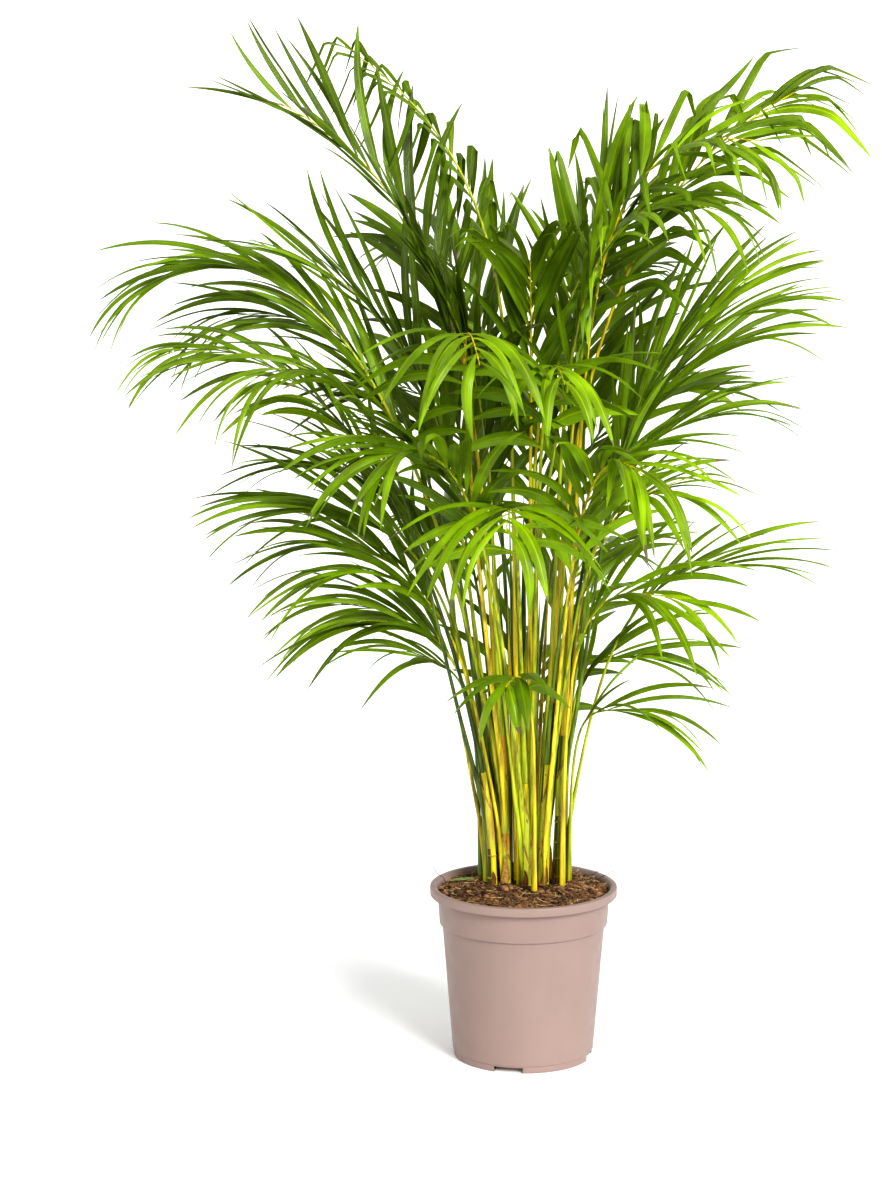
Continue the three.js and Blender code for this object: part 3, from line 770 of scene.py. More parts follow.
# What lies on the soil, clear of the wall: crumbs, of which some are two or three times as large,
# fibres, threads by their direction and how far they reach out, and a leaflet's tip from end to end
WALL_CLEARANCE = 0.003
ANY_TURN = (0, 6.28)
CRUMB_RADII = (0.0008, 0.0020)
CRUMB_SIZES = (1, 2.1, 3.2)
FIBRE_LENGTHS = (0.005, 0.017)
FIBRE_RADII = (0.0002, 0.0005)
FIBRE_HEIGHT = 0.0018
THREADS = ((0.35, 0.030), (0.52, 0.022), (2.95, 0.016))
THREAD_RADIUS = 0.00035
THREAD_FOOT = 0.088
THREAD_RISE = 0.022
THREAD_WAVE = 0.004
FALLEN_LEAF = ((-0.083, 0.010), (-0.045, 0.020))
FALLEN_HALF_WIDTH = 0.0032
FALLEN_HEIGHT = 0.0015
FALLEN_ARCH = 0.004
LITTER_COLOURS = {
    "fibre_pale": (0.50, 0.34, 0.17),
    "fibre_tan": (0.30, 0.17, 0.07),
    "fibre_dark": (0.11, 0.06, 0.03),
    "leaf_fallen": (0.19, 0.22, 0.08),
}


def soil_height(x, y):
    """The soil's surface: a low mound round the clump, with lumps."""
    fall = smooth((math.hypot(x, y) - MOUND_RADIUS) / (SOIL_RADIUS - MOUND_RADIUS))
    lumps = noise.fractal((x * LUMPS, y * LUMPS, 0.3), 0.7, 2.1, 4) * LUMP_HEIGHT
    hills = noise.noise((x * HILLS, y * HILLS, 4.0)) * HILL_HEIGHT
    return MOUND_HEIGHT - SETTLED - MOUND_FALL * float(fall) + lumps + hills


def soil_bed():
    """A disc of rings that is drawn up to the soil's surface, with a side and an underside."""
    line = [(SOIL_RADIUS * k / BED_RINGS, MOUND_HEIGHT) for k in range(BED_RINGS + 1)]
    side = [(SOIL_RADIUS, SIDE_HEIGHT), (UNDERSIDE_RADIUS, UNDERSIDE_HEIGHT)]
    bm = spun([*line, *side, (0, UNDERSIDE_HEIGHT)], BED_STEPS)
    for v in bm.verts:
        if v.co.z > EDGE_HEIGHT:
            v.co.z = soil_height(v.co.x, v.co.y)
    return mesh_of("soil_bed", bm)


def lump(rng, middle, size):
    """A grid of points round a small uneven lump."""
    rows, sides = 5, 6
    v, u = np.mgrid[0:rows, 0:sides]
    polar, turn = v / (rows - 1) * np.pi, u / sides * 2 * np.pi
    out = np.sin(polar)
    grid = np.stack([out * np.cos(turn), out * np.sin(turn), -np.cos(polar)], axis=-1)
    uneven = 1 + rng.normal(0, 0.22, (rows, sides, 1))
    uneven[0], uneven[-1] = 1, 1
    flat = np.array([1, rng.uniform(0.6, 1), rng.uniform(0.4, 0.8)]) * size
    spin = np.array(Matrix.Rotation(rng.uniform(*ANY_TURN), 3, "Z"))
    return middle + (grid * uneven * flat) @ spin.T


class PALM_OT_soil(Operator):
    """Fills the pot with potting soil: a lumpy bed, loose crumbs, fibres and a fallen leaf's tip"""

    bl_idname = "palm.soil"
    bl_label = "Potting Soil"

    def execute(self, context):
        soil = context.scene.palm_soil
        rng = np.random.default_rng(SEED)
        finishes = [
            soil_finish("soil_moist", soil.colour),
            soil_finish("soil_dark", shade(soil.colour, 0.5)),
            soil_finish("soil_peat", shade(soil.colour, 1.7)),
        ]
        bed = finish_piece("soil_bed", soil_bed(), finishes[:1], 180)
        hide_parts("potting_soil")

        crumbs = Sheets()
        for _ in range(soil.crumbs):
            crumbs.add(self.crumb(rng), rng.choice(3, p=(0.45, 0.3, 0.25)), closed=True)
        piece = crumbs.make("soil_crumbs", finishes)

        fibres = Sheets()
        for _ in range(soil.fibres):
            points = self.fibre(rng)
            coat = rng.choice(3, p=(0.5, 0.3, 0.2))
            fibres.add(tube(points, UP, rng.uniform(*FIBRE_RADII), 4), coat, closed=True)
        names = list(LITTER_COLOURS)
        for turn, reach in THREADS:
            fibres.add(self.thread(turn, reach), names.index("fibre_dark"), closed=True)
        fibres.add(self.fallen_leaf(*FALLEN_LEAF), names.index("leaf_fallen"))
        litter = [fibre_finish(name, colour) for name, colour in LITTER_COLOURS.items()]
        piece = fibres.make("soil_fibres", litter)
        return {"FINISHED"}

    def spot(self, rng):
        """A random place on the soil, a little inside the wall."""
        radius = (SOIL_RADIUS - WALL_CLEARANCE) * math.sqrt(rng.random())
        turn = rng.uniform(0, 2 * math.pi)
        return radius * math.cos(turn), radius * math.sin(turn)

    def crumb(self, rng):
        x, y = self.spot(rng)
        size = rng.uniform(*CRUMB_RADII) * rng.choice(CRUMB_SIZES, p=(0.87, 0.10, 0.03))
        middle = np.array([x, y, soil_height(x, y) + size * 0.3])
        return lump(rng, middle, size)

    def fibre(self, rng):
        """The path of a short bowed fibre, a little over the soil."""
        x, y = self.spot(rng)
        length = rng.uniform(*FIBRE_LENGTHS)
        turn = rng.uniform(*ANY_TURN)
        w = np.linspace(-0.5, 0.5, 5)[:, None]
        course = np.array([math.cos(turn), math.sin(turn), rng.normal(0, 0.2)])
        bow = np.array([-math.sin(turn), math.cos(turn), 0.4]) * rng.normal(0, 0.5)
        middle = np.array([x, y, soil_height(x, y) + FIBRE_HEIGHT])
        return middle + (course * w + bow * w * w) * length

    def thread(self, turn, reach):
        """A dry root thread that curls up over the rim."""
        w = np.linspace(0, 1, 12)
        outward = np.array([math.cos(turn), math.sin(turn), 0])
        side = np.cross(UP, outward)
        foot = outward * THREAD_FOOT + UP * (EDGE_HEIGHT + 0.001)
        points = foot + np.outer(w * reach, outward) + np.outer(THREAD_RISE * w**0.7, UP)
        points += np.outer(THREAD_WAVE * np.sin(7 * w + turn), side)
        return tube(points, side, THREAD_RADIUS, 4)

    def fallen_leaf(self, start, end):
        """The tip of a leaflet that lies on the soil."""
        w = np.linspace(0, 1, 10)[:, None]
        ground = np.array(start) * (1 - w) + np.array(end) * w
        highest = max(soil_height(x, y) for x, y in ground)
        height = highest + FALLEN_HEIGHT + FALLEN_ARCH * w * (1 - w)
        course = unit(np.array(end) - start)
        side = np.array([-course[1], course[0], 0.3])
        half = FALLEN_HALF_WIDTH * np.sin(np.pi * (0.08 + 0.9 * w)) ** 0.7
        middle = np.concatenate([ground, height], axis=1)
        return np.stack([middle - side * half, middle, middle + side * half], axis=1)


class PalmCanes(PropertyGroup):
    scar_spacing: FloatProperty(
        name="Scar Spacing",
        description="Mean distance between the ring scars of old leaves",
        default=0.052,
        unit="LENGTH",
    )
    yellow: FloatVectorProperty(
        name="Yellow Cane",
        description="Colour of the yellow canes in the light",
        subtype="COLOR",
        default=(0.56, 0.48, 0.012),
    )
    # The green is also shaded darker to paint shade: on the canes at the rear and down each cane's left
    # side
    green: FloatVectorProperty(
        name="Green Cane",
        description="Colour of the green canes, of which the darkest canes and the seams are shades",
        subtype="COLOR",
        default=(0.26, 0.31, 0.012),
    )


CANE_SIDES = 18
CANE_ROWS = 40

# The ring scars: the first one's height, how much of a cane has them, the profile of each one's
# ridge as (height over the scar, how far it stands out), and the band that takes its colour
FIRST_SCAR = 0.008
SCARRED_SHARE = 0.62
SCAR_RIDGE = (
    (-0.0022, 0.0),
    (-0.0008, 0.00035),
    (0.0002, 0.00045),
    (0.0010, -0.00018),
    (0.0030, 0.0),
)
SCAR_BAND = (-0.0012, 0.0006)

# A strip of painted shade down each cane's left side, in radians round the cane: its middle, how
# that differs from cane to cane, and half its width
PAINTED_SHADE_TURN = 3.7
PAINTED_SHADE_SPREAD = 0.25
PAINTED_SHADE_HALF = 0.45

# Old husks: where they cling, on the side that faces the front, half their width round the cane,
# both in radians, their heights, their distance from the cane and how far their points curl out
HUSK_TURNS = (-2.9, -0.2)
HUSK_HALVES = (0.3, 0.75)
HUSK_HEIGHTS = (0.012, 0.05)
HUSK_DISTANCE = 0.0005
HUSK_CURL = 0.0022


def scars_of(cane, spacing, rng):
    """Where a cane's ring scars lie, closer together near the ground."""
    places, at = [], FIRST_SCAR
    while at < cane.height * SCARRED_SHARE:
        places.append(at / cane.height)
        at += spacing * rng.uniform(0.55, 1.1) * (0.45 + at / cane.height)
    return places


def cane_rows(cane, scars):
    """Heights of a cane's rings, and how far each stands out: a low ridge at every scar."""
    rows = {float(t): 0.0 for t in np.linspace(0, 1, CANE_ROWS)}
    for scar in scars:
        for shift, swell in SCAR_RIDGE:
            rows[scar + shift / cane.height] = swell
    return np.array([(t, rows[t]) for t in sorted(rows) if 0 <= t <= 1])


def cane_mesh(cane, scars, painted_shade):
    """Rolls a flat grid into a tube along the cane's path. Scar bands take material 1, and a strip of
    painted shade down the cane's left side material 2."""
    rows = cane_rows(cane, scars)
    bm = bmesh.new()
    bmesh.ops.create_grid(bm, x_segments=CANE_SIDES, y_segments=len(rows) - 1, size=1)
    for face in bm.faces:
        turn = (face.calc_center_median().x + 1) * math.pi
        if abs(turn - painted_shade) < PAINTED_SHADE_HALF:
            face.material_index = 2
    points, course = bezier(cane.handles, rows[:, 0])
    across = cross_free(np.broadcast_to([1.0, 0, 0], course.shape), course)
    outward = np.cross(course, across)
    radii = cane.radius(rows[:, 0]) + rows[:, 1]
    for v in bm.verts:
        row = round((v.co.y + 1) / 2 * (len(rows) - 1))
        turn = (v.co.x + 1) * math.pi
        around = across[row] * math.cos(turn) + outward[row] * math.sin(turn)
        v.co = points[row] + around * radii[row]
    bmesh.ops.remove_doubles(bm, verts=bm.verts, dist=ROUND_WELD)
    bmesh.ops.holes_fill(bm, edges=[e for e in bm.edges if e.is_boundary], sides=0)
    bmesh.ops.recalc_face_normals(bm, faces=bm.faces)
    low, high = SCAR_BAND
    heights = [bezier(cane.handles, scar)[0][2] for scar in scars]
    for face in bm.faces:
        middle = face.calc_center_median().z
        if any(low < middle - z < high for z in heights):
            face.material_index = 1
    return mesh_of(cane.name, bm)


def husk_sheet(cane, turn, half, height):
    """What is left of an old leaf's sheath: a torn point that clings to a cane's foot."""
    across = np.linspace(-1, 1, 9)[None]
    rise = np.linspace(0, 1, 8)[:, None]
    t = rise * height * (1 - 0.85 * np.abs(across) ** 1.5) / cane.height
    axis, _ = bezier(cane.handles, t)
    angle = turn + across * half + 0.12 * np.sin(5 * across + turn)
    outward = np.stack([np.cos(angle), np.sin(angle), 0 * angle], axis=-1)
    reach = cane.radius(t) + HUSK_DISTANCE + HUSK_CURL * rise**3
    return axis + outward * reach[..., None]


class PALM_OT_canes(Operator):
    """Raises the canes, with their ring scars, a strip of painted shade down each, their swollen feet, and
    some old husks
    """

    bl_idname = "palm.canes"
    bl_label = "Canes"

    def execute(self, context):
        look = context.scene.palm_canes
        rng = np.random.default_rng(SEED + 1)
        scar = cane_finish("cane_scar", (0.38, 0.27, 0.03), (0.20, 0.11, 0.03), 0.5)
        coats = {
            "yellow": cane_finish("cane_yellow", look.yellow, (0.50, 0.20, 0.015), 0.9),
            "olive": cane_finish("cane_olive", look.green, shade(look.green, 0.4), 0.6),
            "amber": cane_finish("cane_amber", (0.58, 0.30, 0.025), (0.26, 0.10, 0.015), 0.95),
            # Painted shade: a dark copy of the green, for the canes at the rear of the clump
            "shadowed": cane_finish("cane_shadowed", shade(look.green, 0.4), (0.14, 0.09, 0.01), 0.6),
        }
        # Painted shade: a dark green for the strip down each cane's left side
        painted_shade = cane_finish("cane_painted_shade", shade(look.green, 0.3), (0.13, 0.06, 0.01), 0.4)
        canes, _ = growth()
        for name, cane in canes.items():
            scars = scars_of(cane, look.scar_spacing, rng)
            mesh = cane_mesh(cane, scars, rng.normal(PAINTED_SHADE_TURN, PAINTED_SHADE_SPREAD))
            piece = finish_piece("stem_" + name, mesh, [coats[cane.coat], scar, painted_shade])
            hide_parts(cane.name)

        husks = Sheets()
        for cane in canes.values():
            for _ in range(rng.integers(0, 3)):
                turn, height = rng.uniform(*HUSK_TURNS), rng.uniform(*HUSK_HEIGHTS)
                husks.add(husk_sheet(cane, turn, rng.uniform(*HUSK_HALVES), height), rng.choice(2))
        brown = fibre_finish("husk_brown", (0.20, 0.08, 0.02))
        tan = fibre_finish("husk_tan", (0.42, 0.24, 0.06))
        piece = husks.make("old_husks", [brown, tan])
        return {"FINISHED"}


class PalmRibs(PropertyGroup):
    sides: IntProperty(
        name="Sides",
        description="Facets round each rib",
        default=8,
    )
    spears: IntProperty(
        name="Spears",
        description="Unopened young leaves that stand in the clump's gaps",
        default=16,
    )
    yellow: FloatVectorProperty(
        name="Yellow Rib",
        description="Colour of the ribs in the light",
        subtype="COLOR",
        default=(0.66, 0.52, 0.02),
    )
    green: FloatVectorProperty(
        name="Green Rib",
        description="Colour of the ribs inside the crown",
        subtype="COLOR",
        default=(0.14, 0.22, 0.012),
    )


RIB_ROWS = 46

# How a rib's foot runs out down its cane, or spreads over the cane's tip or the soil, and the
# height, the thickness and the mesh of the sheath round a cane that holds a frond at its side
FAIRING_LENGTH = 0.070
FAIRING_END = 0.004
TIP_SPREAD = 0.03
SOIL_SPREAD = 0.05
SHEATH_HEIGHT = 0.075
SHEATH_DISTANCE = 0.00012
SHEATH_THICKNESS = 0.0007
SHEATH_SIDES = 16
SHEATH_ROWS = 9

# Odds of a yellow, a lime, a green and a deep green rib, of which the deep green is a dark copy
# of the green, painted shade. Those in the shade rise from the rear of the clump or from its outer
# edge, and draw the darker finishes more often as painted shade.
LIT_ODDS = (0.4, 0.45, 0.15, 0.0)
SHADED_ODDS = (0.05, 0.35, 0.4, 0.2)
SPEAR_ODDS = (0.35, 0.35, 0.15, 0.15)
YELLOW_RIB = "frond_crown_left_long"
SHEATH_COAT = 4
SHEATH_EDGE_COAT = 5
REAR_Y = 0.024
OUTER_X = 0.045

# Unopened spears: how deep they stand, the ellipse of ground that they rise from, by what share of
# their distance from the pot's axis they lean out for each metre of height, their heights and radii
SPEAR_DEPTH = 0.003
SPEAR_GROUND_X = 0.044
SPEAR_GROUND_Y = 0.030
SPEAR_MIDDLE_Y = 0.022
SPEAR_LEAN = (3.2, 2.5)
SPEAR_HEIGHTS = (0.3, 0.5)
SPEAR_RADII = (0.0016, 0.0024)
SPEAR_TRACE_STEPS = 40


def rib_tube(frond, sides):
    """The rib, with a foot that runs out down its cane's side, takes up the width of its cane's
    tip, or swells where it stands in the soil."""
    t = np.linspace(0, 1, RIB_ROWS)
    points, _ = bezier(frond.handles, t)
    radii = frond.radius(t) * (1 - 0.22 * smooth(t / 0.15)) * (1 - 0.4 * smooth((t - 0.55) / 0.45))
    foot = frond.radius(0)
    if frond.on_side:
        down = np.linspace(FAIRING_LENGTH, FAIRING_END, 9)
        place = np.clip(frond.place - down / frond.cane.height, 0, 1)
        share = 1 - down / FAIRING_LENGTH
        thin = foot * (0.25 + 0.75 * smooth(share))
        axis, _ = bezier(frond.cane.handles, place)
        reach = frond.cane.radius(place) + GAP + thin - foot * 0.5 * (1 - share)
        points = np.concatenate([axis + frond.out * reach[:, None], points])
        radii = np.concatenate([thin, radii])
    elif frond.cane:
        radii = radii + (frond.cane.radius(1) - foot) * np.exp(-t * frond.chord / TIP_SPREAD)
    else:
        radii = radii * (1 + 0.5 * np.exp(-t * frond.chord / SOIL_SPREAD))
    return tube(points, -frond.across, radii, sides, flat_top=0.3)


def sheath_sheet(frond):
    """The leaf sheath that wraps a cane below its frond, highest on the frond's own side."""
    cane = frond.cane
    wrap = SHEATH_HEIGHT / cane.height
    turn = np.linspace(0, 2 * np.pi, SHEATH_SIDES, endpoint=False)
    high = 0.5 + 0.5 * np.cos(turn)
    rise = np.linspace(0, 1, SHEATH_ROWS)[:, None]
    t = frond.place - wrap + rise * wrap * (0.62 + 0.42 * high**2)
    t = np.clip(t, 0, 1)
    axis, course = bezier(cane.handles, t.ravel())
    side = np.cross(UP, frond.out)
    ring = np.outer(np.cos(turn), frond.out) + np.outer(np.sin(turn), side)
    grid = (SHEATH_ROWS, SHEATH_SIDES, 3)
    ring = np.broadcast_to(ring, grid).reshape(-1, 3)
    proud = (SHEATH_DISTANCE + SHEATH_THICKNESS * rise * (0.7 + 0.3 * high)).ravel()
    radius = cane.radius(t.ravel()) + proud
    return (axis + cross_free(ring, course) * radius[:, None]).reshape(grid)


def spear_paths(count, rng):
    """Straight young leaves that stand in the clump's gaps: their paths, and their radii."""
    canes, fronds = growth()
    traces = [trace_of(each) for each in (*canes.values(), *fronds)]
    traces = [(points[::4], radii[::4]) for points, radii in traces]
    t = np.linspace(0, 1, SPEAR_TRACE_STEPS + 1)
    kept = []
    while len(kept) < count:
        turn, reach = rng.uniform(0, 2 * math.pi), math.sqrt(rng.random())
        x = SPEAR_GROUND_X * reach * math.cos(turn)
        y = SPEAR_MIDDLE_Y + SPEAR_GROUND_Y * reach * math.sin(turn)
        rise = rng.uniform(*SPEAR_HEIGHTS)
        lean_x, lean_y = [1 + lean * rise for lean in SPEAR_LEAN]
        foot = np.array([x, y, MOUND_HEIGHT - SPEAR_DEPTH])
        tip = np.array([x * lean_x, y * lean_y, MOUND_HEIGHT + rise])
        handles = [foot, foot + UP * rise / 3, (foot + 2 * tip) / 3, tip]
        radius = rng.uniform(*SPEAR_RADII)
        trace = (bezier(handles, t)[0], np.full(len(t), radius))
        if is_clear(trace, traces):
            traces.append(trace)
            kept.append((handles, radius))
    return kept


def spear_tube(handles, radius, sides):
    t = np.linspace(0, 1, RIB_ROWS)
    points, _ = bezier(handles, t)
    radii = radius * (1 + 0.35 * np.sin(np.pi * t) ** 2) * (1 - 0.95 * smooth((t - 0.6) / 0.4))
    return tube(points, np.array([1.0, 0, 0]), radii, sides)


class PALM_OT_ribs(Operator):
    """Grows the petioles and ribs of the fronds, their sheaths round the canes, and the spears"""

    bl_idname = "palm.ribs"
    bl_label = "Ribs and Sheaths"

    def execute(self, context):
        look = context.scene.palm_ribs
        rng = np.random.default_rng(SEED + 2)
        finishes = [
            cane_finish("rib_yellow", look.yellow, shade(look.yellow, 0.6), 0.3),
            cane_finish("rib_lime", (0.38, 0.44, 0.015), look.yellow, 0.15),
            cane_finish("rib_green", look.green, shade(look.green, 0.6), 0.1),
            # Painted shade: a dark copy of the green, for ribs in the shade
            cane_finish("rib_shadowed", shade(look.green, 0.4), look.green, 0.1),
            cane_finish("sheath", (0.44, 0.46, 0.03), (0.36, 0.18, 0.03), 0.7),
            fibre_finish("sheath_edge", (0.34, 0.24, 0.05)),
        ]
        sheath_coats = [SHEATH_COAT] * (SHEATH_ROWS - 2) + [SHEATH_EDGE_COAT]
        for group, members in crown_parts().items():
            sheets = Sheets()
            for frond in members:
                sheets.add(rib_tube(frond, look.sides), self.coat(frond, rng), closed=True)
                if frond.on_side:
                    sheets.add(sheath_sheet(frond), sheath_coats, closed=True)
            piece = sheets.make("ribs_" + group, finishes)
            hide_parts(*[f.name for f in members])

        spears = Sheets()
        for handles, radius in spear_paths(look.spears, rng):
            coat = rng.choice(4, p=SPEAR_ODDS)
            spears.add(spear_tube(handles, radius, look.sides), coat, closed=True)
        piece = spears.make("unopened_spears", finishes[:4])
        return {"FINISHED"}

    def coat(self, frond, rng):
        """Which of the four rib finishes a frond has: fronds in the shade draw the darker ones, as painted
        shade.
        """
        if frond.name == YELLOW_RIB:
            return 0
        foot_x, foot_y, _ = frond.handles[0]
        shaded = frond.group != "crown" and (foot_y > REAR_Y or abs(foot_x) > OUTER_X)
        return rng.choice(4, p=SHADED_ODDS if shaded else LIT_ODDS)


class PalmLeaflets(PropertyGroup):
    spacing: FloatProperty(
        name="Spacing",
        description="Distance between the leaflets on one side of a rib",
        default=0.019,
        unit="LENGTH",
    )
    width: FloatProperty(
        name="Width",
        description="Width of a middling leaflet",
        default=0.0150,
        unit="LENGTH",
    )
    green: FloatVectorProperty(
        name="Green",
        description="Colour of the leaflets in the middle of the range",
        subtype="COLOR",
        default=(0.124, 0.211, 0.004),
    )
    # The fresh green is also the brightest tone, so it paints light on the best-lit fronds
    lime: FloatVectorProperty(
        name="Fresh Green",
        description="Colour of the youngest leaflets",
        subtype="COLOR",
        default=(0.26, 0.42, 0.006),
    )


LEAFLET_STEPS = 14
SECTION = np.array([-1.0, -0.52, 0.0, 0.52, 1.0])
MIDDLING_LENGTH = 0.18
DRY_TIPS = 5

# How much single leaflets differ from their frond's rule: the opening and the lift in degrees, the
# twist in radians, the place in steps along the rib, the tone in finishes, the rest as shares, and
# the odds of a dry tip
OPENING_SPREAD = 3.4
LIFT_SPREAD = 8
DROOP_SPREAD = 0.27
SWAY_SPREAD = 0.16
FOLD_SPREAD = 0.05
LENGTH_SPREAD = 0.06
TWIST_SPREAD = 0.55
WIDTH_SPREAD = 0.14
PLACE_SPREAD = 0.12
TONE_SPREAD = 0.55
DRY_TIP_ODDS = 0.3
LONG_DRY_TIP_ODDS = 0.08


def leaflet_outline(w):
    """Half the width of a leaflet along it, as a share of its widest: slim foot, long point."""
    rise = 0.2 + 0.8 * smooth(w / 0.3)
    return rise * (1 - np.clip((w - 0.3) / 0.7, 0, 1) ** 2.5)


def leaflet_sheet(frond, u, hand, width, rng):
    """One leaflet, creased along its midrib: it leaves the rib at an angle that closes towards
    the tip, droops, and turns a little."""
    t = frond.bare + (1 - frond.bare) * u
    foot, along = bezier(frond.handles, t)
    level = cross_free(frond.across, along)
    roll = math.radians(frond.roll) * np.sign(frond.out[0])
    flat = level * math.cos(roll) + np.cross(along, level) * math.sin(roll)
    above = np.cross(along, flat)
    opening = math.radians(frond.opening * (1.1 - 0.6 * u) + rng.normal(0, OPENING_SPREAD))
    raised = math.radians(frond.lift * (1 - 0.6 * u) + rng.normal(0, LIFT_SPREAD))
    side = flat * hand * math.cos(raised) + above * math.sin(raised)
    heading = along * math.cos(opening) + side * math.sin(opening)
    droop = frond.droop * rng.normal(1, DROOP_SPREAD)
    fall = (heading * heading[2] - UP) * droop
    sway = cross_free(along, heading) * rng.normal(0, SWAY_SPREAD)
    w = np.linspace(0, 1, LEAFLET_STEPS + 1)
    middle = (w[1:] + w[:-1])[:, None] / 2
    where, how = frond.own(FOLDED_TIPS, (1.0, 0.0))
    where = where + rng.normal(0, FOLD_SPREAD)
    fold = how * smooth((middle - where) / 0.14)
    course = unit(heading + (fall + sway) * 2.4 * middle**1.5 - UP * fold)
    length = frond.leaflet_length * (0.65 + 1.5 * u - 1.55 * u * u)
    length = length * rng.normal(1, LENGTH_SPREAD)
    points = np.concatenate([[foot], foot + np.cumsum(course, axis=0) * length / LEAFLET_STEPS])
    course = unit(np.gradient(points, axis=0))
    blade = cross_free(along, heading)
    wide = cross_free(np.broadcast_to(blade, course.shape), course)
    up_side = np.cross(wide, course) * hand
    twist = rng.normal(0, TWIST_SPREAD) * w[:, None]
    wide, up_side = (
        wide * np.cos(twist) + up_side * np.sin(twist),
        up_side * np.cos(twist) - wide * np.sin(twist),
    )
    half = width / 2 * leaflet_outline(w) * (1 - 0.35 * u) * (length / MIDDLING_LENGTH) ** 0.4
    half = (half * rng.normal(1, WIDTH_SPREAD))[:, None, None]
    crease = np.abs(SECTION) ** 1.15 * (0.62 - 0.3 * w[:, None])
    sheet = points[:, None] + wide[:, None] * SECTION[None, :, None] * half
    return sheet - up_side[:, None] * crease[:, :, None] * half


def tone_of(frond):
    """How bright a frond's green is, from 0 to 1: the outside, the front, the right and the low
    fronds catch the light."""
    x, y, z = frond.handles[-1]
    below = max(0.75 - z, 0)
    return frond.own(TONES, 0.28 + math.hypot(x, y) - 0.8 * y + 0.35 * x + 0.5 * below)


class PALM_OT_leaflets(Operator):
    """Hangs the leaflets on the ribs in pairs, and deals out their greens"""

    bl_idname = "palm.leaflets"
    bl_label = "Leaflets"

    def execute(self, context):
        look = context.scene.palm_leaflets
        # The greens run from dark to lime and each frond's tone picks among them: the darker greens are
        # painted shade and the brighter ones painted light, over the leaflets' own green
        greens = [
            shade(look.green, 0.42),
            shade(look.green, 0.68),
            tuple(look.green),
            tuple((a + b) / 2 for a, b in zip(look.green, look.lime)),
            tuple(look.lime),
        ]
        names = ("leaf_dark", "leaf_deep", "leaf_green", "leaf_bright", "leaf_lime")
        finishes = [leaf_finish(name, colour) for name, colour in zip(names, greens)]
        finishes.append(leaf_finish("leaf_tip_dry", (0.17, 0.16, 0.09)))
        for group, members in crown_parts().items():
            sheets = Sheets()
            for frond in members:
                self.dress(frond, look, sheets)
            piece = sheets.make("leaflets_" + group, finishes)
            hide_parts(*[f.name for f in members])
        return {"FINISHED"}

    def dress(self, frond, look, sheets):
        """Gives a rib its leaflets, in turn on either side."""
        rng = np.random.default_rng([SEED, growth()[1].index(frond)])
        spacing = look.spacing * frond.own(OWN_SPACINGS, SPACINGS[frond.group])
        width = look.width * WIDTHS[frond.group] * frond.own(BROAD_FRONDS, 1)
        count = 2 * max(3, round(frond.blade_length() / spacing))
        for i in range(count):
            u = min((i + 0.5 + rng.normal(0, PLACE_SPREAD)) / count, 0.995)
            hand = 1 if i % 2 else -1
            grid = leaflet_sheet(frond, max(u, 0.0), hand, width, rng)
            tone = round(np.clip(tone_of(frond) * 4 + rng.normal(0, TONE_SPREAD), 0, 4))
            coats = [tone] * LEAFLET_STEPS
            if rng.random() < DRY_TIP_ODDS:
                coats[-1] = DRY_TIPS
            if rng.random() < LONG_DRY_TIP_ODDS:
                coats[-2] = coats[-1] = DRY_TIPS
            sheets.add(grid, coats, flip=hand < 0)


# Stage


class PalmStage(PropertyGroup):
    key_strength: FloatProperty(
        name="Key Light",
        description="Strength of the broad light at the right of the camera",
        default=2.7,
    )
    key_spread: FloatProperty(
        name="Key Spread",
        description="How wide the key light looks from the plant, which softens its shadows",
        default=math.radians(24),
        subtype="ANGLE",
    )
    fill_power: FloatProperty(
        name="Fill Light",
        description="Power of the soft light at the left of the camera",
        default=8.0,
        unit="POWER",
    )
    surround: FloatProperty(
        name="Surround",
        description="Brightness of the surround overhead",
        default=0.6,
    )
    horizon: FloatProperty(
        name="Horizon",
        description="Brightness of the surround at the height of the camera",
        default=1.15,
    )
    floor_colour: FloatVectorProperty(
        name="Floor",
        description="Colour of the pale floor",
        subtype="COLOR",
        default=(0.97, 0.97, 0.975),
    )
    floor_glow: FloatProperty(
        name="Floor Glow",
        description="Light that the floor gives off itself, which lightens the shadows on it",
        default=0.06,
    )
    camera_distance: FloatProperty(
        name="Camera Distance",
        description="Distance of the camera in front of the pot's axis",
        default=3.5,
        unit="LENGTH",
    )
    camera_height: FloatProperty(
        name="Camera Height",
        description="Height of the camera over the floor",
        default=1.1131,
        unit="LENGTH",
    )
    camera_pitch: FloatProperty(
        name="Camera Pitch",
        description="How far the camera looks down",
        default=0.1678,
        subtype="ANGLE",
    )
    camera_turn: FloatProperty(
        name="Camera Turn",
        description="How far the camera is turned to the right",
        default=-0.0265,
        subtype="ANGLE",
    )
    lens: FloatProperty(
        name="Lens",
        description="Focal length on a 36 mm long side",
        default=96.16,
    )


# Half the floor's width, the lights' places and what they aim at, and how high over the horizon
# the surround begins and ends its change to the overhead brightness
FLOOR_HALF = 40
KEY_PLACE = (1.6, -2.6, 2.3)
FILL_PLACE = (-2.2, -2.8, 1.4)
FILL_SIZE = 2.0
LIGHT_AIM = Vector((0, 0, 0.6))
HORIZON_HEIGHTS = (0.02, 0.3)


